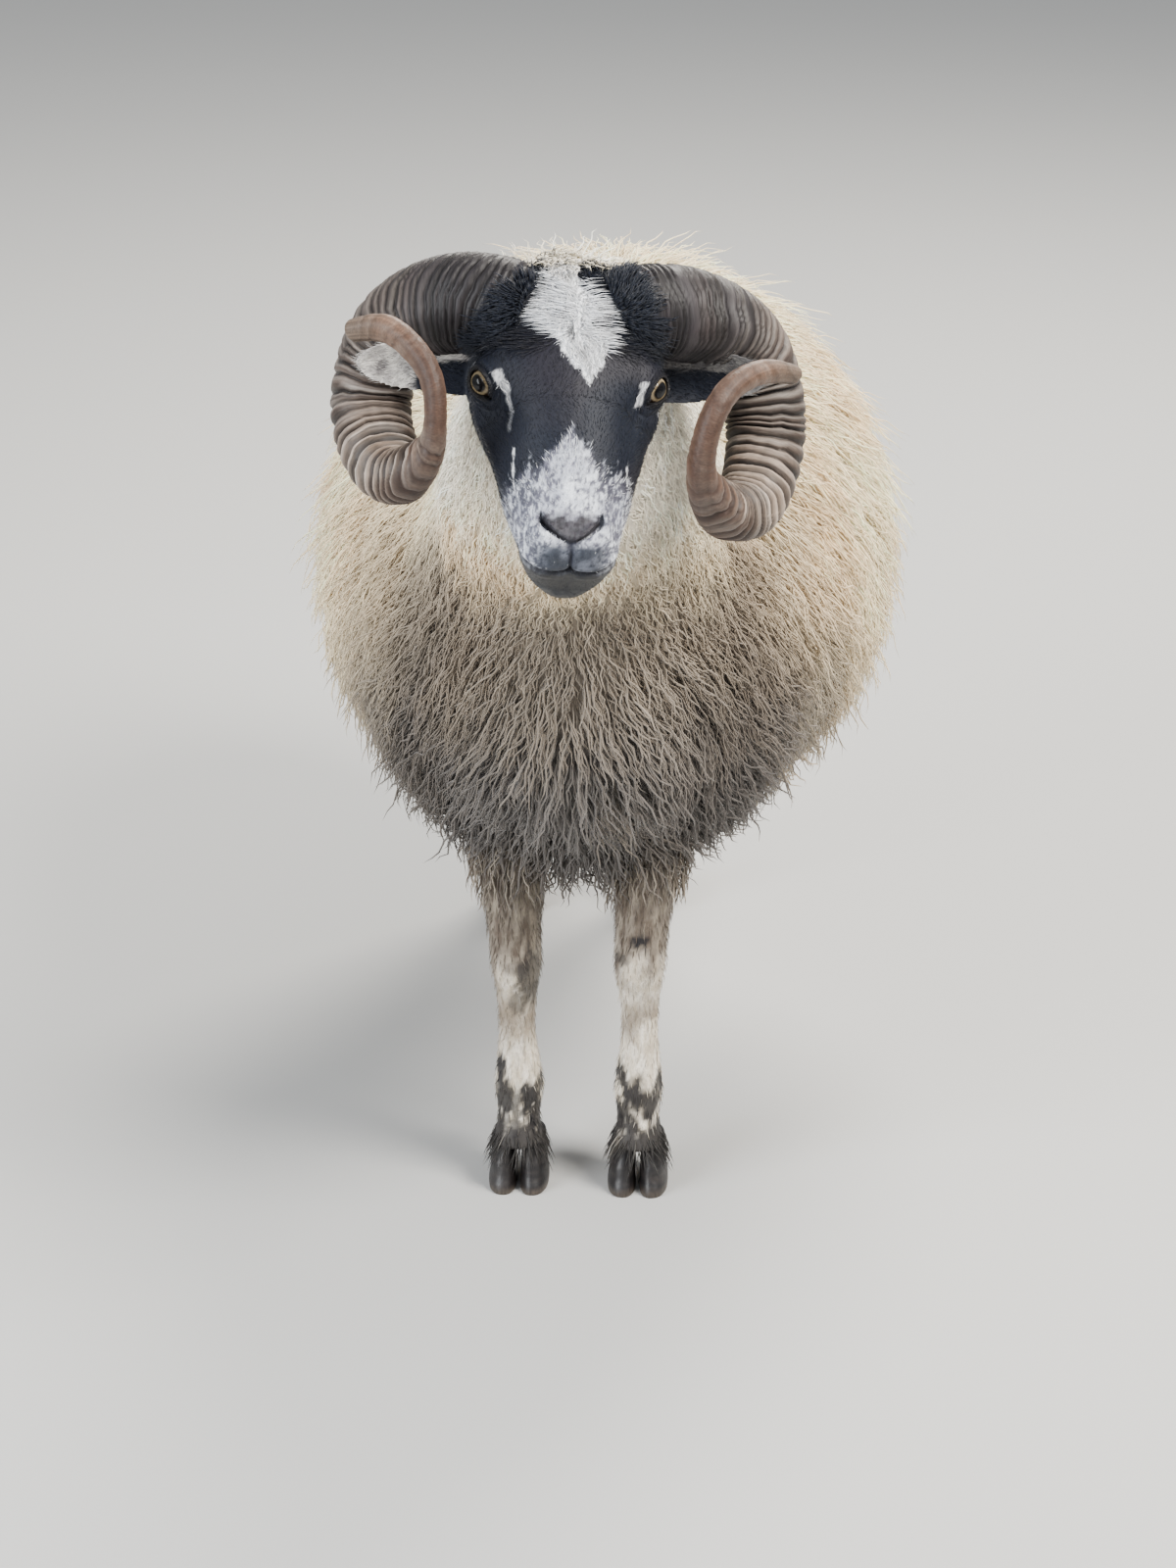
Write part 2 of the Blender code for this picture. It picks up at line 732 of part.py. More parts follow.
def eye_frame(side):
    """Centre of an eye, with Z along its gaze and X along the slit between its lids."""
    gaze = head_local(EYE_GAZE[0], EYE_GAZE[1], side * EYE_GAZE[2]).normalized()
    along = head_local(1, 0, 0)
    along = (along - gaze * along.dot(gaze)).normalized()
    up = gaze.cross(along)
    turn = Matrix((along, up, gaze)).transposed().to_4x4()
    slant = Matrix.Rotation(EYE_SLANT * side, 4, "Z")
    centre = head_local(EYE_AT[0], EYE_AT[1], side * EYE_AT[2])
    return Matrix.Translation(centre) @ turn @ slant


def lid_shell(side):
    obj = ball("lid", EYE_RADIUS + LID_THICKNESS)
    obj.data.transform(eye_frame(side))
    return obj


def eye_ball(side, grow=0.0):
    obj = ball("eye", EYE_RADIUS + grow)
    obj.data.transform(eye_frame(side))
    return obj


def lid_opening(side):
    obj = ball("slit", 1.0, 12, 8)
    obj.data.transform(Matrix.Diagonal((*LID_OPENING, 0.012, 1)))
    obj.data.transform(Matrix.Translation((0, 0, EYE_RADIUS)))
    obj.data.transform(eye_frame(side))
    return obj


def muzzle_half_width(f, u):
    """Half width of the head where it stands at F, at the height U."""
    last = HEAD_STATIONS[-1][0]
    half, top, bottom = head_half_sizes(min(f, last))
    step = max(0.0, (f - last) / MUZZLE_CAP)
    share = max(0.0, 1 - step**MUZZLE_CAP_POWER) ** (1 / MUZZLE_CAP_POWER)
    deep = (top - bottom) / 2 * share
    height = min(1.0, abs(u - (top + bottom) / 2) / max(deep, 1e-6))
    return half * share * max(0.0, 1 - height**HEAD_POWER) ** (1 / HEAD_POWER)


def mouth_cutter():
    """A thin band round the front of the muzzle, which cuts the line between the lips."""
    front = HEAD_STATIONS[-1][0] + MUZZLE_CAP * 0.985
    outline = []
    count = 9
    for k in range(count + 1):
        f = MOUTH_CORNER + (front - MOUTH_CORNER) * math.sin(math.pi / 2 * k / count)
        outline.append((f, muzzle_half_width(f, MOUTH_HEIGHT) * 0.93))
    route = [(f, -w) for f, w in outline] + [(f, w) for f, w in reversed(outline)]
    rings = []
    for k, (f, w) in enumerate(route):
        before, after = route[max(k - 1, 0)], route[min(k + 1, len(route) - 1)]
        run = Vector((after[0] - before[0], after[1] - before[1])).normalized()
        out = Vector((run.y, -run.x)) * MOUTH_DEPTH
        middle = MOUTH_HEIGHT + MOUTH_RISE * (front - f) / (front - MOUTH_CORNER)
        ring = []
        for away, up in ((1, -1), (1, 1), (-1, 0.4), (-1, -0.4)):
            height = middle + up * MOUTH_SLIT / 2
            ring.append(head_local(f + out.x * away, height, w + out.y * away))
        rings.append(ring)
    return skin_over("mouth", rings)


def surface_route(tree, route, side, lift):
    """Points of a route across the front of the muzzle, found by looking along the face."""
    points = []
    for l, u in route:
        start = head_local(0.4, u, l * side)
        hit, normal, _, _ = tree.ray_cast(start, Vector((0, 1, 0)))
        points.append(hit + normal * lift)
    return points


def groove_cutter(points, radii, name):
    rings = []
    for k, (point, along, over, side) in enumerate(tube_frames(points, Vector((0, -1, 0.35)))):
        end = 0.0006 if k in (0, len(points) - 1) else 0.0
        shift = along * (end if k else -end)
        rings.append([
            point + shift + (side * math.cos(a) + over * math.sin(a) * 1.6) * radii[k]
            for a in (2 * math.pi * n / 8 for n in range(8))
        ])
    return skin_over(name, rings)


def head_features(shell):
    shell = boolean(shell, "UNION", [lid_shell(side) for side in (1, -1)])
    tree = BVHTree.FromPolygons(
        [v.co.copy() for v in shell.data.vertices],
        [tuple(p.vertices) for p in shell.data.polygons],
    )
    cutters = [mouth_cutter()]
    for side in (1, -1):
        route = surface_route(tree, NOSTRIL_ROUTE, side, -0.0012)
        cutters.append(groove_cutter(route, NOSTRIL_RADII, "nostril"))
    route = surface_route(tree, PHILTRUM_ROUTE, 1, 0.0)
    cutters.append(groove_cutter(route, PHILTRUM_RADII, "philtrum"))
    for cutter in cutters:
        shell = boolean(shell, "DIFFERENCE", [cutter])
    for side in (1, -1):
        shell = boolean(shell, "DIFFERENCE", [lid_opening(side)])
        shell = boolean(shell, "DIFFERENCE", [eye_ball(side, GAP)])
    return shell


# Ears and horns

def ear(side):
    """A cupped leaf: rings of an outer and an inner arc, from the root to the tip."""
    root = head_local(EAR_ROOT[0], EAR_ROOT[1], side * EAR_ROOT[2])
    tip = head_local(EAR_TIP[0], EAR_TIP[1], side * EAR_TIP[2])
    along = (tip - root).normalized()
    open_to = head_local(*EAR_FACING, 0)
    face = (open_to - along * open_to.dot(along)).normalized()
    across = along.cross(face)
    length = (tip - root).length
    rings = []
    for s in EAR_RINGS:
        half = EAR_HALF_WIDTH * spline(EAR_OUTLINE, s)[0][0]
        bend = EAR_CUP * (1.35 - 0.75 * s) * math.pi / 2
        thick = EAR_THICKNESS * (1.6 - 0.9 * s)
        droop = along * length * s - face * (EAR_DROOP * math.sin(math.pi * s))
        ring = []
        arc = [-1 + 2 * n / 6 for n in range(7)]
        radius = half / max(math.sin(bend), 0.2)
        for inner, steps in ((0, arc), (1, arc[::-1])):
            for a in steps:
                depth = radius * (1 - math.cos(a * bend))
                edge = 1 - 0.75 * abs(a) ** 3
                lift = depth + (inner - 0.5) * thick * edge
                ring.append(root + droop + across * radius * math.sin(a * bend) + face * lift)
        rings.append(ring)
    return skin_over("ear", rings)


def horn_route(side):
    """Centre, two directions across and two half widths at each ring of a horn."""
    view = FACE_SLOPE + HORN_LEAN
    back = head_local(-math.cos(view), -math.sin(view), 0)
    up = head_local(-math.sin(view), math.cos(view), 0)
    out = head_local(0, 0, side)
    hub = head_local(*HORN_HUB, 0) + back * HORN_BACK - up * HORN_DOWN
    stations = HORN_STATIONS[side]
    first, last = stations[0][0], stations[-1][0]
    points, sizes, arms = [], [], []
    for k in range(HORN_RINGS):
        turn = first + (last - first) * k / (HORN_RINGS - 1)
        away, reach, lower, wide, thick = spline(stations, turn)[0]
        angle = math.radians(turn)
        arm = up * math.cos(angle) + back * math.sin(angle)
        points.append(hub + arm * reach + out * away - up * lower)
        sizes.append((wide, thick))
        arms.append(arm)
    return points, sizes, arms


def horn(side):
    points, sizes, arms = horn_route(side)
    rings = []
    for k, (point, along, over, across) in enumerate(tube_frames(points, lambda n: arms[n])):
        wide, thick = sizes[k]
        s = k / (len(points) - 1)
        fade = max(0.0, 1 - s / HORN_SMOOTH_FROM)
        wave = math.cos(2 * math.pi * HORN_RIDGES * s) * min(1, 2.5 * fade)
        ridge = 1 + HORN_RIDGE / wide * wave
        ring = []
        for n in range(HORN_SEGMENTS):
            angle = 2 * math.pi * n / HORN_SEGMENTS
            x, y = superellipse(angle, 2.3)
            keel = 1 + HORN_KEEL * max(0.0, x) ** 2 * (1 - s)
            ring.append(point + over * x * wide * ridge * keel + across * y * thick * ridge)
        rings.append(ring)
    tip_along = (points[-1] - points[-2]).normalized()
    for step in (0.5, 0.85):
        share = math.sqrt(1 - step * step)
        base = rings[len(points) - 1]
        middle = points[-1]
        ahead = tip_along * sizes[-1][0] * step
        rings.append([middle + (p - middle) * share + ahead for p in base])
    end = points[-1] + tip_along * sizes[-1][0]
    return skin_over("horn", rings, None, end)


# The animal

LOOKS = {
    "wool": ((0.66, 0.56, 0.44), 0.95),
    "face_hair": ((0.035, 0.035, 0.045), 0.75),
    "leg_hair": ((0.52, 0.47, 0.40), 0.85),
    "horn": ((0.27, 0.21, 0.17), 0.6),
    "hoof": ((0.05, 0.045, 0.045), 0.5),
    "eye": ((0.35, 0.27, 0.13), 0.15),
}


def clear_scene():
    for obj in list(bpy.data.objects):
        bpy.data.objects.remove(obj)


def leg_places():
    for side, sign in (("left", 1), ("right", -1)):
        yield "front", side, sign, FRONT_LEG, sign * FRONT_FOOT_X, 0.0
        yield "hind", side, sign, HIND_LEG, HIND_FEET_X[side], HIND_FOOT_Y


def make_legs(looks):
    for end, side, sign, stations, x, y in leg_places():
        shape = leg(stations, x, y, sign)
        shape = cut_beyond(shape, Vector((0, 0, LEG_TOP[end])), Vector((0, 0, 1)))
        shape = boolean(shape, "UNION", dewclaws(stations, x, y, sign))
        finished(shape, f"leg_{end}_{side}", looks["leg_hair"])
        for name, half in (("outer", sign), ("inner", -sign)):
            finished(claw(x, y, half), f"hoof_{end}_{side}_{name}", looks["hoof"])


def leg_clearance():
    """The legs below the split, swollen a little, to keep the fleece off them."""
    cutters = []
    for end, side, sign, stations, x, y in leg_places():
        shape = pushed_out(leg(stations, x, y, sign), 3 * GAP)
        level = Vector((0, 0, LEG_TOP[end] + GAP))
        cutters.append(cut_beyond(shape, level, Vector((0, 0, 1))))
    return cutters


def leg_tops():
    return [leg(stations, x, y, sign) for _, _, sign, stations, x, y in leg_places()]


def fleece(rng):
    """Torso and neck in one, with all their locks."""
    core = torso(BODY_WOOL * CORE_SHARE)
    neck_core = neck(NECK_WOOL_LOW * CORE_SHARE, NECK_WOOL_HIGH * CORE_SHARE)
    core = boolean(core, "UNION", [neck_core])
    outer = torso(BODY_WOOL)
    outer = boolean(outer, "UNION", [neck(NECK_WOOL_LOW, NECK_WOOL_HIGH)])
    locks = coat_locks(core, outer, BODY_LOCK, rng)
    bpy.data.objects.remove(outer)
    return boolean(core, "UNION", locks + leg_tops())


def make_torso_and_neck(looks, rng):
    body = fleece(rng)
    front = copy_of(body, "neck")
    body = cut_beyond(body, *NECK_PLANE)
    tail_cutter = tail(TAIL_WOOL + TAIL_CLEARANCE)
    body = boolean(body, "DIFFERENCE", leg_clearance() + [tail_cutter])
    finished(body, "torso", looks["wool"])
    point, normal = NECK_PLANE
    front = cut_beyond(front, point, -normal)
    front = cut_beyond(front, *HEAD_PLANE)
    finished(front, "neck", looks["wool"])


def poll_locks(shell):
    """Short locks on the poll and forehead, between the horns."""
    tree = BVHTree.FromPolygons(
        [v.co.copy() for v in shell.data.vertices],
        [tuple(p.vertices) for p in shell.data.polygons],
    )
    made = []
    for f, l, degrees in POLL_LOCKS:
        place, normal, _, _ = tree.ray_cast(head_local(f, 0.2, l), Vector((0, 0, -1)))
        angle = math.radians(degrees)
        lie = head_local(math.cos(angle), 0, math.sin(angle))
        lie = (lie - normal * lie.dot(normal)).normalized()
        tip = place + lie * POLL_LOCK["slide"] + normal * POLL_LOCK["height"]
        start = place - normal * POLL_LOCK["sink"]
        path = [start]
        for share, _, _ in LOCK_SHAPE[1:]:
            path.append(start.lerp(tip, share) + normal * 0.004 * math.sin(math.pi * share))
        path.append(tip)
        across = normal.cross(lie).normalized()
        made.append(lock(path, across, lie.cross(across), POLL_LOCK))
    return made


def make_head(looks):
    shell = head_shell()
    shape = boolean(head_features(shell), "UNION", poll_locks(shell))
    shape.data.transform(HEAD)
    point, normal = HEAD_PLANE
    shape = cut_beyond(shape, point, -normal)
    finished(shape, "head", looks["face_hair"])
    for side, sign in (("left", 1), ("right", -1)):
        eye = eye_ball(sign)
        eye.data.transform(HEAD)
        finished(eye, f"eye_{side}", looks["eye"])
        for name, piece, look in (("ear", ear(sign), "face_hair"), ("horn", horn(sign), "horn")):
            cutter = pushed_out(head_shell(), 2 * GAP)
            piece = boolean(piece, "DIFFERENCE", [cutter])
            if name == "ear":
                piece = boolean(piece, "DIFFERENCE", [pushed_out(horn(sign), HORN_CLEARANCE)])
            piece.data.transform(HEAD)
            finished(piece, f"{name}_{side}", looks[look])


def make_tail(looks, rng):
    core, outer = tail(TAIL_WOOL * CORE_SHARE), tail(TAIL_WOOL)
    locks = coat_locks(core, outer, TAIL_LOCK, rng)
    bpy.data.objects.remove(outer)
    shape = boolean(core, "UNION", locks)
    shape = cut_beyond(shape, Vector((0, TAIL_SPLIT_Y, 0)), Vector((0, -1, 0)))
    return finished(shape, "tail", looks["wool"])


def stand_on_origin():
    """Moves every piece so that the origin is under the middle of the whole box."""
    corners = [v.co for obj in bpy.data.objects for v in obj.data.vertices]
    xs, ys, zs = zip(*corners)
    middle = Vector(((min(xs) + max(xs)) / 2, (min(ys) + max(ys)) / 2, min(zs)))
    for obj in bpy.data.objects:
        obj.data.transform(Matrix.Translation(-middle))


def main():
    rng = random.Random(SEED)
    clear_scene()
    looks = {name: material(name, color, rough) for name, (color, rough) in LOOKS.items()}
    make_legs(looks)
    make_torso_and_neck(looks, rng)
    make_head(looks)
    make_tail(looks, rng)
    stand_on_origin()


main()
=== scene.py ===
"""Looks of a standing horned ram of a hill breed: skin, fleece, horns, eyes and hooves.

Everything is modelled in the CAD source's working frame, where the middle of the two front
feet is at the origin, and moved by SHIFT into the row frame. Metres, +Z up; the animal
faces -Y and its left side is +X.
"""

import math

import bmesh
import bpy
import numpy as np
from mathutils import Matrix, Vector
from mathutils.bvhtree import BVHTree
from mathutils.kdtree import KDTree


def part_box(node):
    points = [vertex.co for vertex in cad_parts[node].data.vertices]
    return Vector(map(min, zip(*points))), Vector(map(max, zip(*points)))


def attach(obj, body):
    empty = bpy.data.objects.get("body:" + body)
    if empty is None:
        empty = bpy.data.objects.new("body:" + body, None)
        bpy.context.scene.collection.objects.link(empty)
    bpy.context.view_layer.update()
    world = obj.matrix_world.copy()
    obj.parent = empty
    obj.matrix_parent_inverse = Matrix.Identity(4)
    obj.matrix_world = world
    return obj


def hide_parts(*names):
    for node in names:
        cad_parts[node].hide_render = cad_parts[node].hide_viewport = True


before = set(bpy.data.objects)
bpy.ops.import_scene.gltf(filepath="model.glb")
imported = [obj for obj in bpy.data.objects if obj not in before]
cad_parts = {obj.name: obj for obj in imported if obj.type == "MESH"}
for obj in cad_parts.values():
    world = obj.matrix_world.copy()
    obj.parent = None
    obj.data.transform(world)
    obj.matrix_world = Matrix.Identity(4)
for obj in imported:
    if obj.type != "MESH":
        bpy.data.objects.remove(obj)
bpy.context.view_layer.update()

# Fleece: depth from the skin to the tips, and the share of it that lies under the skin mesh.
BODY_WOOL = 0.070
NECK_WOOL = (0.052, 0.020)
TAIL_WOOL = 0.022
CORE_SHARE = 0.5

# Torso skin: along Y, half width, top and bottom height, power of its under side.
TORSO_STATIONS = (
    (-0.072, 0.078, 0.580, 0.424, 1.9),
    (-0.020, 0.114, 0.625, 0.362, 1.9),
    (0.060, 0.137, 0.652, 0.336, 2.0),
    (0.170, 0.166, 0.664, 0.326, 2.3),
    (0.300, 0.200, 0.670, 0.320, 2.6),
    (0.440, 0.217, 0.674, 0.322, 2.7),
    (0.550, 0.204, 0.674, 0.345, 2.5),
    (0.622, 0.160, 0.655, 0.400, 2.2),
)
CHEST_CAP = 0.034
RUMP_CAP = 0.048
TORSO_X = 0.004
TORSO_WAIST = 0.42
POWER_ABOVE = 1.85
# Neck skin: centre X, Y, Z, half width, half depth.
NECK_STATIONS = (
    (0.003, 0.150, 0.530, 0.100, 0.095),
    (0.003, 0.035, 0.585, 0.108, 0.132),
    (0.004, -0.075, 0.690, 0.086, 0.110),
    (0.006, -0.150, 0.772, 0.066, 0.082),
    (0.009, -0.228, 0.832, 0.056, 0.062),
)
NECK_CAP = 0.020
# Tail skin: centre Y and Z, radius.
TAIL_STATIONS = (
    (0.640, 0.628, 0.0190),
    (0.700, 0.622, 0.0180),
    (0.752, 0.580, 0.0165),
    (0.776, 0.500, 0.0150),
    (0.778, 0.410, 0.0130),
    (0.772, 0.340, 0.0105),
)
TAIL_CAP = 0.012

# Head frame: on the poll, F down the face, U up from it, L to the animal's left.
POLL = Vector((0.0067, -0.235, 0.9115))
FACE_SLOPE = math.radians(38)
HEAD_TURN = math.radians(7.5)
HEAD_ROLL = math.radians(3.6)
# Along F: half width, top and bottom along U.
HEAD_STATIONS = (
    (-0.026, 0.044, -0.044, -0.104),
    (0.000, 0.058, -0.006, -0.118),
    (0.040, 0.067, 0.007, -0.131),
    (0.080, 0.068, 0.009, -0.131),
    (0.120, 0.064, 0.005, -0.124),
    (0.160, 0.055, -0.004, -0.115),
    (0.200, 0.046, -0.016, -0.108),
    (0.230, 0.041, -0.028, -0.105),
)
NAPE_CAP = 0.018
MUZZLE_CAP = 0.025
MUZZLE_POWER = 2.6
HEAD_POWER = 2.35
HEAD_VOXEL = 0.00130
BODY_VOXEL = 0.0085
# Swellings and hollows of the head: F, U, L, reach, height.
HEAD_FORMS = (
    (0.092, -0.012, 0.064, 0.024, 0.0125),
    (0.114, -0.054, 0.058, 0.022, 0.0050),
    (0.074, -0.092, 0.056, 0.036, 0.0085),
    (0.138, -0.026, 0.050, 0.017, -0.0040),
    (0.055, -0.035, 0.066, 0.018, -0.0030),
    (0.236, -0.032, 0.023, 0.011, 0.0045),
    (0.246, -0.060, 0.018, 0.013, 0.0040),
    (0.242, -0.094, 0.000, 0.015, 0.0045),
)
EYE_AT = (0.103, -0.029, 0.0612)
EYE_RADIUS = 0.0135
LID_THICKNESS = 0.0024
LID_OPENING = (0.0118, 0.0077)
LID_CORNER = (0.0042, 0.0024, 0.010)
EYE_GAZE = (0.52, 0.56, 0.645)
EYE_SLANT = math.radians(-12)
MOUTH_CORNER = 0.180
# The view onto the nose, from in front and above, and the height W down that view.
NOSE_VIEW = (0.513, 0.858)
# Nostril, from its outer end to the middle: L, W, radius.
NOSTRIL_ROUTE = (
    (0.0226, 0.2050, 0.0014),
    (0.0222, 0.2085, 0.0028),
    (0.0213, 0.2125, 0.0036),
    (0.0168, 0.2174, 0.0028),
    (0.0098, 0.2232, 0.0019),
    (0.0030, 0.2266, 0.0014),
)
# Nose and lips begin here along F.
NOSE_FROM = 0.2
# Line between the lips: height along U at its corners and how far it rises to the front.
LIP_LINE = (-0.072, 0.0150)

EAR_ROOT = (0.060, -0.066, 0.050)
EAR_TIP = (0.066, -0.058, 0.160)
EAR_HALF_WIDTH = 0.0210
EAR_FACING = (0.79, 0.45)
EAR_THICKNESS = 0.0045
EAR_CUP = 0.55
EAR_OUTLINE = (
    (0.00, 0.92),
    (0.15, 1.02),
    (0.40, 1.06),
    (0.62, 1.00),
    (0.82, 0.80),
    (0.94, 0.50),
    (1.00, 0.16),
)

# Horns, left 1 and right -1, round a hub beside the eyes: turn in degrees, distance out,
# distance from the hub, how much lower, half width along that distance and across it.
HORN_HUB = (0.1000, -0.0265)
HORN_BACK = 0.025
HORN_DOWN = 0.010
# How far along each horn its root is hidden in hair, at its top, its middle and below.
HORN_CUFF = {1: (0.040, 0.054, 0.068), -1: (0.020, 0.054, 0.092)}
HORN_LEAN = math.radians(15.6)
HORN_STATIONS = {
    1: (
        (-14, 0.030, 0.0580, 0.0000, 0.0335, 0.0295),
        (4, 0.066, 0.0635, 0.0000, 0.0345, 0.0305),
        (45, 0.136, 0.0700, 0.0000, 0.0320, 0.0310),
        (90, 0.1645, 0.0770, 0.0030, 0.0290, 0.0310),
        (150, 0.1529, 0.0740, 0.0107, 0.0245, 0.0265),
        (200, 0.1205, 0.0760, 0.0110, 0.0185, 0.0190),
        (245, 0.0983, 0.0820, 0.0110, 0.0145, 0.0105),
        (285, 0.1188, 0.0770, 0.0110, 0.0118, 0.0095),
        (305, 0.1474, 0.0670, 0.0160, 0.0092, 0.0085),
        (318, 0.1696, 0.0580, 0.0220, 0.0072, 0.0070),
    ),
    -1: (
        (-14, 0.030, 0.0615, 0.0020, 0.0345, 0.0295),
        (4, 0.066, 0.0665, 0.0020, 0.0360, 0.0305),
        (45, 0.1245, 0.0715, 0.0020, 0.0335, 0.0315),
        (90, 0.1450, 0.0695, 0.0020, 0.0290, 0.0310),
        (150, 0.1355, 0.0640, 0.0020, 0.0250, 0.0275),
        (200, 0.1195, 0.0666, 0.0020, 0.0185, 0.0180),
        (245, 0.1029, 0.0709, 0.0020, 0.0140, 0.0090),
        (285, 0.1156, 0.0666, -0.0050, 0.0125, 0.0092),
        (305, 0.1429, 0.0580, -0.0100, 0.0112, 0.0092),
        (318, 0.1640, 0.0502, -0.0040, 0.0085, 0.0075),
    ),
}

# Powers of the superellipses that the sections of horns, legs and claws are.
HORN_POWER = 2.3
LEG_POWER = 2.2
HOOF_POWER = 2.4

# Legs from the coronet up: offset in X and Y from the foot, height, half width, half depth.
FRONT_LEG = (
    (0.000, 0.004, 0.0430, 0.0225, 0.0260),
    (0.000, 0.008, 0.0660, 0.0185, 0.0200),
    (0.000, 0.012, 0.0950, 0.0210, 0.0240),
    (0.001, 0.008, 0.1450, 0.0160, 0.0180),
    (0.001, 0.004, 0.1850, 0.0175, 0.0200),
    (0.001, 0.000, 0.2150, 0.0220, 0.0245),
    (0.003, 0.006, 0.2550, 0.0235, 0.0270),
    (0.007, 0.016, 0.3100, 0.0290, 0.0380),
    (0.014, 0.030, 0.3700, 0.0360, 0.0550),
    (0.024, 0.045, 0.4400, 0.0440, 0.0700),
)
HIND_LEG = (
    (0.000, 0.004, 0.0430, 0.0225, 0.0260),
    (0.000, 0.010, 0.0660, 0.0185, 0.0200),
    (0.000, 0.018, 0.0950, 0.0215, 0.0245),
    (0.001, 0.026, 0.1500, 0.0165, 0.0200),
    (0.002, 0.032, 0.2000, 0.0175, 0.0220),
    (0.003, 0.038, 0.2450, 0.0215, 0.0310),
    (0.007, 0.020, 0.2900, 0.0255, 0.0350),
    (0.022, -0.028, 0.3700, 0.0430, 0.0660),
    (0.045, -0.062, 0.4600, 0.0620, 0.0960),
)
FRONT_FOOT_X = 0.0535
HIND_FEET_X = {1: 0.035, -1: -0.098}
HIND_FOOT_Y = 0.645
HOOF_TOP = 0.0427
HOOF_LENGTH = 0.062
HOOF_WIDTH = 0.0255
HOOF_CLEFT = 0.0032
HOOF_SLOPE = 0.018
# Dewclaws, two behind each fetlock: half sizes, and their place from the back of the fetlock.
DEWCLAW = (0.0062, 0.0070, 0.0110)
DEWCLAW_APART = 0.0095
DEWCLAW_BACK = -0.0020
DEWCLAW_UP = -0.0080
DEWCLAW_TILT = math.radians(22)
FETLOCK = 2

SIDES = {"left": 1, "right": -1}
rng = np.random.default_rng(11)


# Curves and noise

def spline(stations, at):
    """Rows of numbers read along their first column by a smooth curve through them."""
    table = np.array(stations, float)
    x, y = table[:, 0], table[:, 1:]
    slopes = np.gradient(y, x, axis=0)
    at = np.clip(np.atleast_1d(at), x[0], x[-1])
    i = np.clip(np.searchsorted(x, at, side="right") - 1, 0, len(x) - 2)
    h = (x[i + 1] - x[i])[:, None]
    s = ((at - x[i])[:, None]) / h
    return (
        y[i] * (2 * s**3 - 3 * s**2 + 1)
        + y[i + 1] * (-2 * s**3 + 3 * s**2)
        + slopes[i] * h * (s**3 - 2 * s**2 + s)
        + slopes[i + 1] * h * (s**3 - s**2)
    )


def numbered(stations):
    return [(k, *row) for k, row in enumerate(stations)]


def capped(first, last, start_cap, end_cap, count, power=2.0, steps=10):
    """Positions along a loft, how far each lies beyond its end, and its share of full size."""
    step = np.sin(np.linspace(0, 1, steps + 1)[1:-1] * math.pi / 2) * 0.995
    share = (1 - step**power) ** (1 / power)
    at, beyond, size = [np.linspace(first, last, count)], [np.zeros(count)], [np.ones(count)]
    if start_cap:
        at.insert(0, np.full(len(step), first))
        beyond.insert(0, -start_cap * step[::-1])
        size.insert(0, share[::-1])
    if end_cap:
        at.append(np.full(len(step), last))
        beyond.append(end_cap * step)
        size.append(share)
    return np.concatenate(at), np.concatenate(beyond), np.concatenate(size)


def superellipse(angle, power):
    c, s = np.cos(angle), np.sin(angle)
    return np.sign(c) * np.abs(c) ** (2 / power), np.sign(s) * np.abs(s) ** (2 / power)


def smooth(low, high, x):
    t = np.clip((x - low) / (high - low), 0, 1)
    return t * t * (3 - 2 * t)


def unit(v):
    return v / np.maximum(np.linalg.norm(v, axis=-1, keepdims=True), 1e-12)


def lengths(v):
    return np.linalg.norm(v, axis=-1)


def flat_on(direction, normal):
    """Directions laid flat on surfaces with those normals."""
    return unit(direction - normal * (direction * normal).sum(-1, keepdims=True))


def hill(x, width, power=2):
    """1 where x is 0, and down to 0 on both sides over about that width."""
    return np.exp(-((x / width) ** power))


def round_angles(count):
    return 2 * math.pi * np.arange(count) / count


def lattice(x, y, z, seed):
    """A random number from -1 to 1 for each lattice point."""
    n = x * 374761393 + y * 668265263 + z * 1440662683 + seed * 1274126177
    n = (n ^ (n >> 13)) * 1274126177
    return ((n ^ (n >> 16)) & 0xFFFF) / 32767.5 - 1


def noise(points, size, seed=0, octaves=1):
    """Smooth noise from about -1 to 1 with features about that size."""
    total, weight = np.zeros(len(points)), 0.0
    for octave in range(octaves):
        q = points * (2**octave) / size
        cell = np.floor(q).astype(np.int64)
        f = q - cell
        f = f * f * (3 - 2 * f)
        value = np.zeros(len(points))
        for corner in range(8):
            step = (corner & 1, corner >> 1 & 1, corner >> 2 & 1)
            share = np.ones(len(points))
            for axis in range(3):
                share = share * (f[:, axis] if step[axis] else 1 - f[:, axis])
            value += share * lattice(*(cell[:, k] + step[k] for k in range(3)), seed + octave)
        total += value / 1.7**octave
        weight += 1 / 1.7**octave
    return total / weight * 1.4


def srgb(*levels):
    """A linear colour from its levels of 0 to 255 on a screen."""
    return (np.array(levels, float) / 255) ** 2.2


def mixed(a, b, share):
    """Rows of colour a turned towards colour b."""
    share = np.asarray(share)[..., None]
    return np.asarray(a) * (1 - share) + np.asarray(b) * share


# Meshes

def in_scene(name, data):
    obj = bpy.data.objects.new(name, data)
    bpy.context.scene.collection.objects.link(obj)
    return obj


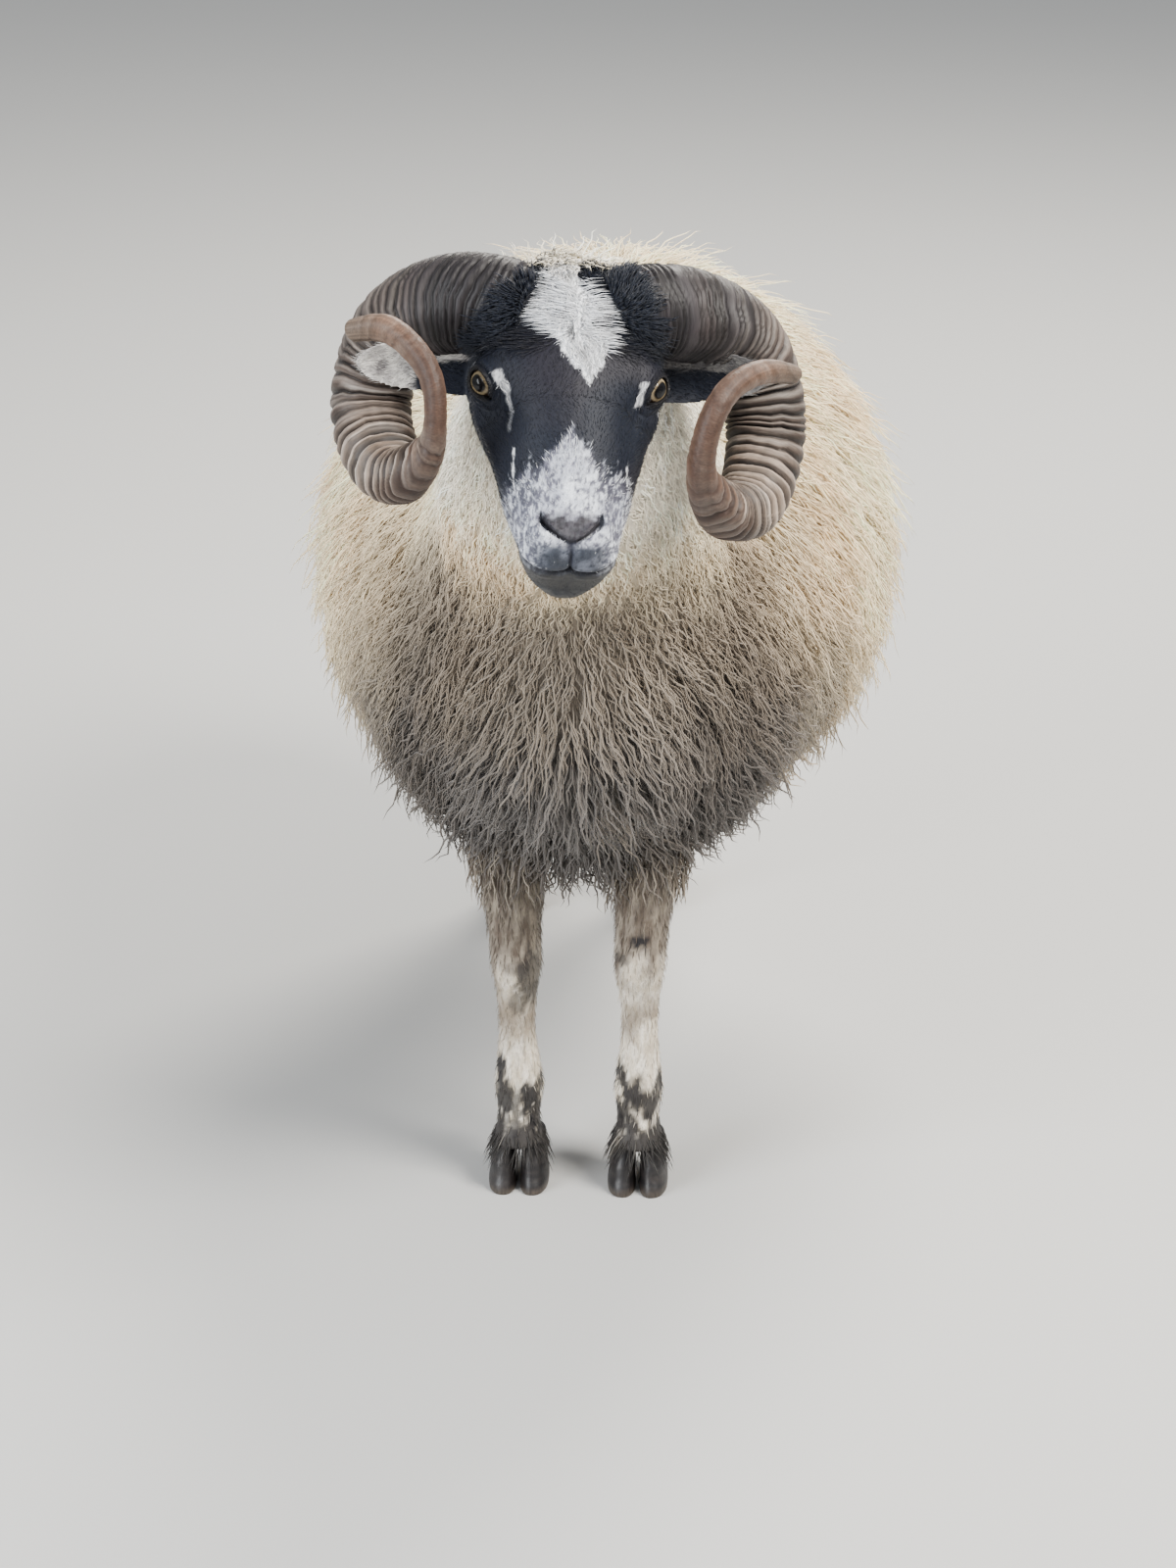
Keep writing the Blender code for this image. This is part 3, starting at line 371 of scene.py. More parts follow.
def raw_mesh(name, verts, faces):
    """A mesh object from an array of vertices and one of equally sided faces."""
    mesh = bpy.data.meshes.new(name)
    sides = faces.shape[1]
    mesh.vertices.add(len(verts))
    mesh.vertices.foreach_set("co", np.ascontiguousarray(verts, np.float32).ravel())
    mesh.loops.add(faces.size)
    mesh.loops.foreach_set("vertex_index", np.ascontiguousarray(faces, np.int32).ravel())
    mesh.polygons.add(len(faces))
    mesh.polygons.foreach_set("loop_start", np.arange(0, faces.size, sides, dtype=np.int32))
    mesh.update(calc_edges=True)
    mesh.shade_smooth()
    return in_scene(name, mesh)


def loft(name, grid, start=None, end=None):
    """A closed mesh over a grid of rings by points, with a pole or a fan at each end."""
    rings, count = grid.shape[:2]
    starts = np.arange(rings - 1)[:, None] * count
    k = np.arange(count)[None, :]
    a, b = starts + k, starts + (k + 1) % count
    quads = np.stack([a, b, b + count, a + count], -1).reshape(-1, 4)
    start = grid[0].mean(0) if start is None else np.array(start)
    end = grid[-1].mean(0) if end is None else np.array(end)
    verts = np.concatenate([grid.reshape(-1, 3), [start, end]])
    k = np.arange(count)
    last = (rings - 1) * count
    tris = np.concatenate([
        quads[:, [0, 1, 2]],
        quads[:, [0, 2, 3]],
        np.stack([(k + 1) % count, k, np.full(count, rings * count)], -1),
        np.stack([last + k, last + (k + 1) % count, np.full(count, rings * count + 1)], -1),
    ])
    obj = raw_mesh(name, verts, tris)
    outward(obj)
    return obj


def outward(obj):
    bm = bmesh.new()
    bm.from_mesh(obj.data)
    bmesh.ops.recalc_face_normals(bm, faces=bm.faces)
    bm.to_mesh(obj.data)
    bm.free()


def rows_of(data, field, width, kind=np.float32):
    """A field of all rows of some mesh data, as an array."""
    values = np.empty(len(data) * width, kind)
    data.foreach_get(field, values)
    return values.reshape(-1, width)


def positions(obj):
    return rows_of(obj.data.vertices, "co", 3).astype(float)


def set_positions(obj, co):
    obj.data.vertices.foreach_set("co", np.ascontiguousarray(co, np.float32).ravel())
    obj.data.update()


def normals(obj):
    return rows_of(obj.data.vertex_normals, "vector", 3).astype(float)


def triangles(obj):
    obj.data.calc_loop_triangles()
    return rows_of(obj.data.loop_triangles, "vertices", 3, np.int32)


def relaxed(obj, rounds, mask=1.0, back=-0.50):
    """Vertices moved towards the mean of their neighbours, and back out, to keep the volume."""
    co = positions(obj)
    a, b = rows_of(obj.data.edges, "vertices", 2, np.int32).T
    degree = np.bincount(np.concatenate([a, b]), minlength=len(co))[:, None]
    for k in range(rounds):
        total = np.stack([
            np.bincount(a, co[b, n], len(co)) + np.bincount(b, co[a, n], len(co))
            for n in range(3)
        ], -1)
        step = 0.55 if k % 2 == 0 else back
        co += (total / degree - co) * step * np.reshape(mask, (-1, 1))
    set_positions(obj, co)


def evened(obj, voxel):
    """The mesh made again from evenly spaced faces, and its steps smoothed off."""
    modifier = obj.modifiers.new("even", "REMESH")
    modifier.mode = "VOXEL"
    modifier.voxel_size = voxel
    applied(obj)
    relaxed(obj, 4)


def applied(obj):
    graph = bpy.context.evaluated_depsgraph_get()
    mesh = bpy.data.meshes.new_from_object(obj.evaluated_get(graph))
    old = obj.data
    obj.modifiers.clear()
    obj.data = mesh
    bpy.data.meshes.remove(old)


def boolean(obj, operation, others):
    """One Boolean with closed meshes, which are then removed."""
    group = bpy.data.collections.new("tools")
    bpy.context.scene.collection.children.link(group)
    for other in others:
        bpy.context.scene.collection.objects.unlink(other)
        group.objects.link(other)
    modifier = obj.modifiers.new(operation.lower(), "BOOLEAN")
    modifier.operation = operation
    modifier.operand_type = "COLLECTION"
    modifier.collection = group
    modifier.solver = "MANIFOLD"
    applied(obj)
    for other in others:
        bpy.data.objects.remove(other)
    bpy.data.collections.remove(group)
    return obj


def tree_over(points, tris):
    return BVHTree.FromPolygons(points.tolist(), tris.tolist())


def paint(obj, name, values):
    """A colour or vector at every vertex, for the material."""
    kind, width, field = {"Col": ("FLOAT_COLOR", 4, "color")}.get(
        name, ("FLOAT_VECTOR", 3, "vector")
    )
    rows = np.ones((len(values), width), np.float32)
    rows[:, :3] = values
    layer = obj.data.attributes.new(name, kind, "POINT")
    layer.data.foreach_set(field, rows.ravel())


# Head frame and the head's own functions, on arrays of points in that frame

HEAD = (
    Matrix.Translation(POLL)
    @ Matrix.Rotation(HEAD_TURN, 4, "Z")
    @ Matrix.Rotation(HEAD_ROLL, 4, "Y")
    @ Matrix.Rotation(FACE_SLOPE, 4, "X")
)


def head_local(f, u, l):
    return Vector((l, -f, u))


def sided(at, side):
    """A place or direction F, U, L on the left half of the head, or its mirror image."""
    return head_local(at[0], at[1], side * at[2])


def head_axes(co):
    """F, U and L of points in the head frame."""
    return -co[:, 1], co[:, 2], co[:, 0]


HEAD_TURNS = np.array(HEAD.to_3x3())
FACE_DOWN = np.array(HEAD.to_3x3() @ head_local(1, 0, 0))
FACE_OUT = np.array(HEAD.to_3x3() @ head_local(0, 0, 1))
EYE_MIDDLE = HEAD @ head_local(*EYE_AT)
SHIFT = sum(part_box("eye_left"), Vector()) / 2 - EYE_MIDDLE


def moved(points, matrix):
    m = np.array(matrix)
    return points @ m[:3, :3].T + m[:3, 3]


def eye_frame(side):
    """Centre of an eye, with Z along its gaze and X along the slit, towards the muzzle."""
    gaze = sided(EYE_GAZE, side).normalized()
    along = head_local(1, 0, 0)
    along = (along - gaze * along.dot(gaze)).normalized()
    turn = Matrix((along, gaze.cross(along), gaze)).transposed().to_4x4()
    slant = Matrix.Rotation(EYE_SLANT * side, 4, "Z")
    return Matrix.Translation(sided(EYE_AT, side)) @ turn @ slant


def at_eye(points, side):
    """Points in an eye's frame, and how far out they lie, 1 at the edges of the lids."""
    local = moved(points, eye_frame(side).inverted())
    across, up = local[:, 0] / LID_OPENING[0], local[:, 1] / LID_OPENING[1]
    return local, np.sqrt(across**2 + up**2)


def head_forms(points):
    total = np.zeros(len(points))
    for f, u, l, reach, height in HEAD_FORMS:
        for side in ((1, -1) if l else (1,)):
            middle = np.array(head_local(f, u, side * l))
            away = ((points - middle) ** 2).sum(1)
            total += height * np.exp(-away / reach**2)
    return total


def head_shell():
    """The head before its eyes, nostrils and mouth, in its own frame."""
    first, last = HEAD_STATIONS[0][0], HEAD_STATIONS[-1][0]
    at, beyond, share = capped(first, last, NAPE_CAP, MUZZLE_CAP, 150, MUZZLE_POWER, 24)
    half, top, bottom = spline(HEAD_STATIONS, at).T
    angle = 2 * math.pi * (np.arange(180) + 0.5) / 180
    x, z = superellipse(angle, HEAD_POWER)
    narrow = 1 - 0.20 * np.maximum(0, -z) ** 2 - 0.16 * np.maximum(0, z) ** 2
    l = (half * share)[:, None] * (x * narrow)
    u = ((top + bottom) / 2)[:, None] + ((top - bottom) / 2 * share)[:, None] * z
    f = np.broadcast_to((at + beyond)[:, None], l.shape)
    grid = np.stack([l, -f, u], -1)
    ends = []
    for row, f in ((HEAD_STATIONS[0], first - NAPE_CAP), (HEAD_STATIONS[-1], last + MUZZLE_CAP)):
        ends.append(head_local(f, (row[2] + row[3]) / 2, 0))
    obj = loft("head_skin", grid, *ends)
    co = positions(obj)
    tapered = smooth(0.185, 0.240, -co[:, 1]) * smooth(-0.035, -0.080, co[:, 2])
    co[:, 0] *= 1 - 0.17 * tapered
    co[:, 2] -= 0.013 * smooth(0.020, -0.030, -co[:, 1]) * smooth(-0.075, -0.035, co[:, 2])
    set_positions(obj, co)
    no = normals(obj)
    co += no * head_forms(co)[:, None]
    for side in (1, -1):
        co = swollen_round(co, no, np.array(sided(EYE_AT, side)))
    set_positions(obj, co)
    return obj


def swollen_round(co, no, middle, blend=0.010):
    """The surface pushed out until it takes in a ball with the lids' radius, in one slope."""
    rise = np.zeros(len(co))
    for _ in range(14):
        ball = lengths(co + no * rise[:, None] - middle) - EYE_RADIUS - LID_THICKNESS
        near = np.maximum(blend - np.abs(rise - ball), 0) / blend
        rise -= np.minimum(rise, ball) - near * near * blend / 4
    return co + no * rise[:, None]


def round_ball(radii, place, turn):
    bm = bmesh.new()
    bmesh.ops.create_uvsphere(bm, u_segments=48, v_segments=32, radius=1)
    mesh = bpy.data.meshes.new("ball")
    bmesh.ops.triangulate(bm, faces=bm.faces)
    bm.to_mesh(mesh)
    bm.free()
    mesh.transform(Matrix.Diagonal((*radii, 1)))
    mesh.transform(Matrix.Translation(place))
    mesh.transform(turn)
    return in_scene("ball", mesh)


def tube(name, points, radii, guide, flat=1.0, segments=16):
    """A closed tube along points; radii across, and flat times that along the guide."""
    points = np.array(points, float)
    ahead = unit(np.gradient(points, axis=0))
    over = flat_on(guide, ahead)
    side = np.cross(over, ahead)
    angle = round_angles(segments)
    radii = np.asarray(radii, float)[:, None, None]
    x, z = np.cos(angle)[None, :, None], np.sin(angle)[None, :, None]
    grid = points[:, None] + radii * (side[:, None] * x + over[:, None] * z * flat)
    return loft(name, grid)


def ear(side):
    """A cupped leaf: an outer and an inner arc at each ring, from the root to the tip."""
    root, tip = sided(EAR_ROOT, side), sided(EAR_TIP, side)
    along = (tip - root).normalized()
    open_to = head_local(*EAR_FACING, 0)
    face = (open_to - along * open_to.dot(along)).normalized()
    across = along.cross(face)
    length = (tip - root).length
    s = 1 - (1 - np.linspace(0, 1, 60)) ** 1.25
    half = EAR_HALF_WIDTH * spline(EAR_OUTLINE, s)[:, 0]
    bend = EAR_CUP * (1.35 - 0.75 * s) * math.pi / 2
    thick = EAR_THICKNESS * (1.6 - 0.9 * s)
    radius = half / np.maximum(np.sin(bend), 0.2)
    arc = np.linspace(-1, 1, 33)
    arcs = np.concatenate([arc, arc[::-1]])
    layer = np.concatenate([np.full(33, -0.5), np.full(33, 0.5)])
    turn = bend[:, None] * arcs
    depth = radius[:, None] * (1 - np.cos(turn))
    edge = 1 - 0.75 * np.abs(arcs) ** 3
    lift = depth + layer * edge * thick[:, None] - 0.006 * np.sin(math.pi * s)[:, None]
    sideways = radius[:, None] * np.sin(turn)
    grid = (
        np.array(root)
        + np.array(along) * (length * s)[:, None, None]
        + np.array(across) * sideways[..., None]
        + np.array(face) * lift[..., None]
    )
    return loft("ear", grid)


def nose_height(f, u):
    """W, the distance down the view onto the nose."""
    return NOSE_VIEW[1] * f - NOSE_VIEW[0] * u


def nostril_edge(l):
    """W of the nostrils' line at a distance from the middle."""
    route = np.array(NOSTRIL_ROUTE)[::-1]
    return np.interp(np.abs(l), route[:, 0], route[:, 1])


def lip_line(f, l):
    """U of the line between the lips."""
    rise = LIP_LINE[1] * smooth(0.205, 0.252, f)
    return LIP_LINE[0] + rise + 0.0030 * hill(l, 0.0042) * smooth(0.23, 0.25, f)


def lip_lobes(f, u, l):
    """The two lobes at the front of the upper lip."""
    front = smooth(0.2270, 0.2330, nose_height(f, u)) * smooth(0.036, 0.018, np.abs(l))
    return front * (f > NOSE_FROM)


def nostril(tree, side):
    toward = Vector(head_local(*NOSE_VIEW, 0))
    rows = spline(numbered(NOSTRIL_ROUTE), np.linspace(0, len(NOSTRIL_ROUTE) - 1, 26))
    points = []
    for l, w, radius in rows:
        start = head_local(NOSE_VIEW[1] * w, -NOSE_VIEW[0] * w, l * side) + toward * 0.4
        hit, normal, _, _ = tree.ray_cast(start, -toward)
        points.append(np.array(hit) - np.array(toward) * radius * 0.9)
    return tube("nostril", points, rows[:, 2], np.array(toward), 1.9)


def upper_half(local, side):
    """1 above the slit between the lids and 0 below it, on points in an eye's frame."""
    return smooth(-0.0015, 0.0015, -side * local[:, 1])


def fine_head_forms(co):
    """Lips, lids, creases and folds, as height over the head's plain form."""
    f, u, l = head_axes(co)
    rise = np.zeros(len(co))
    # The line between the lips, with a fuller lip on each side of it.
    w = nose_height(f, u)
    below = u - lip_line(f, l)
    open_part = smooth(MOUTH_CORNER - 0.004, MOUTH_CORNER + 0.012, f)
    ahead = 0.35 + 0.65 * smooth(0.215, 0.240, f)
    rise -= 0.0032 * ahead * open_part * hill(below, 0.0014)
    rise += 0.0009 * open_part * hill(below - 0.0055, 0.0035)
    rise += 0.0009 * open_part * hill(below + 0.0050, 0.0030)
    lobe = ((np.abs(l) - 0.0125) / 0.0095) ** 2 + ((w - 0.2365) / 0.0085) ** 2
    rise += 0.0024 * np.exp(-lobe) * (f > NOSE_FROM)
    # The groove from the nose to the lip, wider where it leaves the nose.
    wide = 0.0012 + 0.0036 * smooth(0.2350, 0.2275, w)
    middle = hill(l, wide) * (f > NOSE_FROM)
    rise -= 0.0026 * middle * smooth(0.2255, 0.2280, w) * smooth(0.2480, 0.2455, w)
    # The nose pad swells a little above the nostrils, which have soft outer wings.
    above = nostril_edge(l) - w
    pad = smooth(0.0238, 0.0215, np.abs(l)) * (f > 0.19)
    rise += 0.0011 * pad * hill(above - 0.0035, 0.0028)
    wing = np.hypot((np.abs(l) - 0.0290) / 0.0050, (w - 0.2120) / 0.0085)
    rise += 0.0014 * np.exp(-(wing**2)) * (f > 0.19)
    # Facial crest and the vein below it.
    crest = -0.050 - 0.10 * (f - 0.12)
    rise += 0.0016 * smooth(0.105, 0.125, f) * smooth(0.190, 0.165, f) * hill(u - crest, 0.007)
    vein = hill(u - crest + 0.015, 0.008)
    rise -= 0.0012 * smooth(0.110, 0.13, f) * smooth(0.185, 0.165, f) * vein
    # Soft folds over the muzzle behind the nostrils.
    fold = np.abs(l) - 0.030 - 0.35 * (u + 0.03)
    rise -= 0.0008 * smooth(0.195, 0.205, f) * smooth(0.228, 0.218, f) * hill(fold, 0.0022)
    for side in (1, -1):
        local, reach = at_eye(co, side)
        near = smooth(0.034, 0.024, lengths(local)) * (local[:, 2] > 0)
        away = (reach - 1) * 0.0095
        up = upper_half(local, side)
        rise += near * 0.0010 * hill(away - 0.0010, 0.0012)
        rise -= near * (0.0011 * up + 0.0007 * (1 - up)) * hill(away - 0.0044, 0.0011)
        rise += near * 0.0008 * up * hill(away - 0.0070, 0.0018)
        rise -= near * 0.0006 * (1 - up) * hill(away - 0.0095, 0.0012)
        # The tear groove runs from the inner corner down the face.
        down = np.abs(l) - 0.0535 + 0.22 * (f - 0.118)
        groove = smooth(0.112, 0.120, f) * smooth(0.150, 0.134, f) * (l * side > 0)
        rise -= 0.0018 * groove * hill(down, 0.0035)
    # Skin that isn't quite even.
    rise += 0.00035 * noise(co, 0.014, 3, 2)
    return rise


def make_head_skin():
    obj = head_shell()
    tree = tree_over(positions(obj), triangles(obj))
    boolean(obj, "UNION", [ear(1), ear(-1)])
    cutters = [nostril(tree, side) for side in (1, -1)]
    boolean(obj, "DIFFERENCE", cutters)
    for side in (1, -1):
        for radii, at in (
            ((*LID_OPENING, 0.012), (0, 0, EYE_RADIUS)),
            (LID_CORNER, (LID_OPENING[0], 0.0006 * side, EYE_RADIUS * 0.86)),
            ((EYE_RADIUS - 0.0001,) * 3, (0, 0, 0)),
        ):
            boolean(obj, "DIFFERENCE", [round_ball(radii, Vector(at), eye_frame(side))])
    evened(obj, HEAD_VOXEL)
    co = positions(obj)
    root = np.minimum(*(lengths(co - np.array(sided(EAR_ROOT, side))) for side in (1, -1)))
    relaxed(obj, 24, smooth(0.036, 0.024, root))
    co, no = positions(obj), normals(obj)
    set_positions(obj, co + no * fine_head_forms(co)[:, None])
    obj.data.transform(HEAD)
    return obj


# Body forms

def torso_grid(wool, rings=80, segments=84):
    first, last = TORSO_STATIONS[0], TORSO_STATIONS[-1]
    at, beyond, share = capped(first[0], last[0], CHEST_CAP + wool, RUMP_CAP + wool, rings)
    half, top, bottom, below = spline(TORSO_STATIONS, at).T
    waist = bottom + (top - bottom) * TORSO_WAIST
    angle = round_angles(segments)
    x1, z1 = superellipse(angle, POWER_ABOVE)
    x2, z2 = superellipse(angle[None, :], below[:, None])
    above = angle < math.pi
    x, z = np.where(above, x1, x2), np.where(above, z1, z2)
    reach = np.where(z >= 0, (top - waist)[:, None], (waist - bottom)[:, None])
    grid = np.stack([
        TORSO_X + x * ((half + wool) * share)[:, None],
        np.broadcast_to((at + beyond)[:, None], x.shape),
        waist[:, None] + z * (reach + wool) * share[:, None],
    ], -1)
    ends = []
    for row, side, cap in ((first, -1, CHEST_CAP), (last, 1, RUMP_CAP)):
        middle = row[3] + (row[2] - row[3]) * TORSO_WAIST
        ends.append((TORSO_X, row[0] + side * (cap + wool), middle))
    return grid, ends


def route_grid(stations, middles, cap, rings, segments, half_sizes, guide):
    """Rings along a route through stations, square to it, with a rounded far end."""
    at, beyond, share = capped(0, len(stations) - 1, 0, cap, rings, 2.0, 8)
    keyed = numbered(stations)
    centres = middles(spline(keyed, at))
    ahead = unit(middles(spline(keyed, np.minimum(at + 0.05, len(stations) - 1)))
                 - middles(spline(keyed, np.maximum(at - 0.05, 0))))
    centres = centres + ahead * beyond[:, None]
    over = flat_on(guide, ahead)
    side = np.cross(over, ahead)
    half, deep = half_sizes(spline(keyed, at), at / (len(stations) - 1))
    x, z = superellipse(round_angles(segments), 2.0)
    return (
        centres[:, None]
        + side[:, None] * x[None, :, None] * (half * share)[:, None, None]
        + over[:, None] * z[None, :, None] * (deep * share)[:, None, None]
    )


def neck_wool(t):
    """Depth of the wool along the neck, from 0 in the chest to 1 at the head."""
    return NECK_WOOL[0] + (NECK_WOOL[1] - NECK_WOOL[0]) * t


def neck_grid(share):
    def sizes(rows, t):
        wool = neck_wool(t) * share
        return rows[:, 3] + wool, rows[:, 4] + wool
    return route_grid(
        NECK_STATIONS, lambda r: r[:, :3], NECK_CAP, 46, 64, sizes, np.array((0, 0.3, 1))
    )


def tail_grid(share):
    def sizes(rows, t):
        radius = rows[:, 2] + TAIL_WOOL * share
        return radius, radius
    return route_grid(
        TAIL_STATIONS, lambda r: np.stack([r[:, 0] * 0, r[:, 0], r[:, 1]], -1),
        TAIL_CAP + TAIL_WOOL * share, 50, 24, sizes, np.array((0, 1, 0.2)),
    )


def leg_places():
    for name, side in SIDES.items():
        yield f"front_{name}", side, FRONT_LEG, side * FRONT_FOOT_X, 0.0
        yield f"hind_{name}", side, HIND_LEG, HIND_FEET_X[side], HIND_FOOT_Y


def dewclaw_place(side, stations, foot_x, foot_y, half):
    """Where one of the two small knobs behind a fetlock sits, and how it tilts."""
    dx, dy, height, _, deep = stations[FETLOCK]
    return Matrix.Translation((
        foot_x + side * dx + half * DEWCLAW_APART,
        foot_y + dy + deep + DEWCLAW_BACK,
        height + DEWCLAW_UP,
    )) @ Matrix.Rotation(DEWCLAW_TILT, 4, "X")


def leg_grid(side, stations, foot_x, foot_y, rings=110, segments=44):
    t = np.linspace(0, len(stations) - 1, rings)
    dx, dy, z, half, deep = spline(numbered(stations), t).T
    angle = round_angles(segments)
    x, y = superellipse(angle, LEG_POWER)
    behind = np.maximum(0, np.sin(angle))[None, :]
    cannon = (smooth(0.098, 0.118, z) * smooth(0.195, 0.165, z))[:, None]
    tendon = 1 - 0.13 * cannon * behind * (1 - behind) * 4
    fetlock = 1 + 0.10 * hill(z - 0.096, 0.014)[:, None] * behind**2
    knee = 1 - 0.05 * hill(z - 0.236, 0.010)[:, None]
    swell = tendon * fetlock * knee
    return np.stack([
        foot_x + side * dx[:, None] + x * half[:, None] * (1 - 0.10 * cannon * behind),
        foot_y + dy[:, None] + y * deep[:, None] * swell,
        np.broadcast_to(z[:, None], swell.shape),
    ], -1)


# Markings: colours of the coat at places on it

# Black hair; its bluish tint is a painted sheen of sky light.
BLACK_WITH_PAINTED_SHEEN = srgb(19, 24, 35)
WHITE = srgb(236, 238, 242)
CREAM = srgb(228, 212, 182)
HOOF_DARK = srgb(36, 32, 32)
THROAT = srgb(246, 240, 226)
# White blaze: along F, its left and right edge along L.
BLAZE = (
    (-0.040, -0.0220, 0.0180),
    (-0.012, -0.0205, 0.0125),
    (0.006, -0.0195, 0.0080),
    (0.026, -0.0175, 0.0070),
    (0.038, -0.0190, 0.0120),
    (0.046, -0.0240, 0.0260),
    (0.054, -0.0330, 0.0350),
    (0.061, -0.0370, 0.0340),
    (0.068, -0.0270, 0.0315),
    (0.078, -0.0180, 0.0300),
    (0.092, -0.0100, 0.0270),
    (0.106, -0.0030, 0.0220),
    (0.116, 0.0050, 0.0170),
    (0.122, 0.0110, 0.0130),
)
# Pale marks beside the eyes and on the cheeks: from and to F, U, L, radius and strength.
PALE_MARKS = (
    ((0.108, -0.012, -0.0550), (0.120, -0.016, -0.0485), 0.0028, 0.54),
    ((0.120, -0.016, -0.0485), (0.134, -0.021, -0.0460), 0.0024, 0.28),
    ((0.134, -0.021, -0.0460), (0.146, -0.028, -0.0460), 0.0022, 0.16),
    ((0.1120, -0.014, 0.0560), (0.124, -0.022, 0.0525), 0.0024, 0.58),
    ((0.113, -0.046, 0.069), (0.117, -0.049, 0.067), 0.0020, 0.5),
    ((0.076, -0.008, -0.064), (0.082, -0.010, -0.062), 0.0035, 0.28),
    ((0.076, -0.030, -0.068), (0.079, -0.032, -0.068), 0.0030, 0.25),
    ((0.166, -0.027, -0.0425), (0.193, -0.039, -0.0430), 0.0012, 0.7),
    ((0.177, -0.032, 0.0425), (0.188, -0.038, 0.0440), 0.0012, 0.7),
)
# Dark patches on the front legs: X, Z, half width, half height, strength.
LEG_PATCHES = (
    (-0.0690, 0.1120, 0.0056, 0.0120, 0.97),
    (-0.0665, 0.0880, 0.0085, 0.0190, 0.95),
    (-0.0560, 0.0860, 0.0040, 0.0120, 0.80),
    (-0.0440, 0.0880, 0.0080, 0.0140, 0.97),
    (-0.0375, 0.0720, 0.0080, 0.0150, 0.95),
    (-0.0335, 0.0980, 0.0046, 0.0120, 0.90),
    (-0.0560, 0.0680, 0.0034, 0.0120, 0.80),
    (-0.0420, 0.2070, 0.0110, 0.0280, 0.78),
    (-0.0520, 0.1830, 0.0080, 0.0120, 0.60),
    (0.0537, 0.2467, 0.0074, 0.0066, 0.97),
    (0.0372, 0.2290, 0.0064, 0.0066, 0.60),
    (0.0385, 0.1080, 0.0056, 0.0120, 0.95),
    (0.0500, 0.0940, 0.0112, 0.0170, 0.97),
    (0.0640, 0.0830, 0.0096, 0.0160, 0.95),
    (0.0728, 0.1000, 0.0056, 0.0130, 0.95),
    (0.0404, 0.0790, 0.0076, 0.0120, 0.92),
)


def segment_distance(points, start, end):
    line = end - start
    t = np.clip(((points - start) @ line) / (line @ line), 0, 1)
    return lengths(points - start - t[:, None] * line)


def face_white(co):
    """How white the face is at points in the head frame, and how much is the jaw's edge."""
    f, u, l = head_axes(co)
    ragged = 0.0030 * noise(co, 0.006, 21) + 0.0018 * noise(co, 0.0025, 22)
    left, right = spline(BLAZE, f).T
    inside = np.minimum(l - left, right - l) + ragged
    inside = np.minimum(inside, BLAZE[-1][0] - f + ragged)
    white = smooth(-0.0010, 0.0014, inside) * (u > -0.03)
    curl = np.hypot((f - 0.0700) / 1.6, l - 0.0200) + 0.5 * ragged
    white *= smooth(0.0030, 0.0050, curl)
    for start, end, radius, strength in PALE_MARKS:
        away = segment_distance(co, np.array(head_local(*start)), np.array(head_local(*end)))
        away = (away + 0.75 * ragged * min(1, radius / 0.004)) / radius
        white = np.maximum(white, strength * smooth(1.5, 0.5, away))
    # A cream edge runs along the lower jaw.
    jaw = smooth(-0.083, -0.094, u + 1.6 * ragged) * smooth(0.06, 0.12, f)
    return np.maximum(white, jaw * 0.85), jaw


def muzzle_share(co):
    """The share of white hairs on the muzzle: it comes in from a peak on the nose."""
    f, u, l = head_axes(co)
    ragged = 0.0060 * noise(co * np.array((1, 0.4, 1)), 0.0045, 24, 2)
    edge = f - 0.157 - 1.20 * np.maximum(0, np.abs(l + 0.001) - 0.002) + ragged
    bridge = smooth(-0.004, 0.020, edge) * smooth(0.034, 0.024, np.abs(l))
    bridge *= 1 - 0.62 * smooth(0.013, 0.022, l + ragged) * smooth(0.212, 0.198, f)
    bridge *= 1 - 0.35 * smooth(-0.016, -0.026, l + ragged)
    cheek = smooth(0.192, 0.214, f + ragged) * smooth(0.018, 0.028, np.abs(l))
    under = smooth(-0.084, -0.072, u)
    grey = 0.42 * smooth(0.172, 0.200, f + ragged)
    return np.maximum(np.maximum(0.76 * bridge, 0.56 * cheek), grey) * under


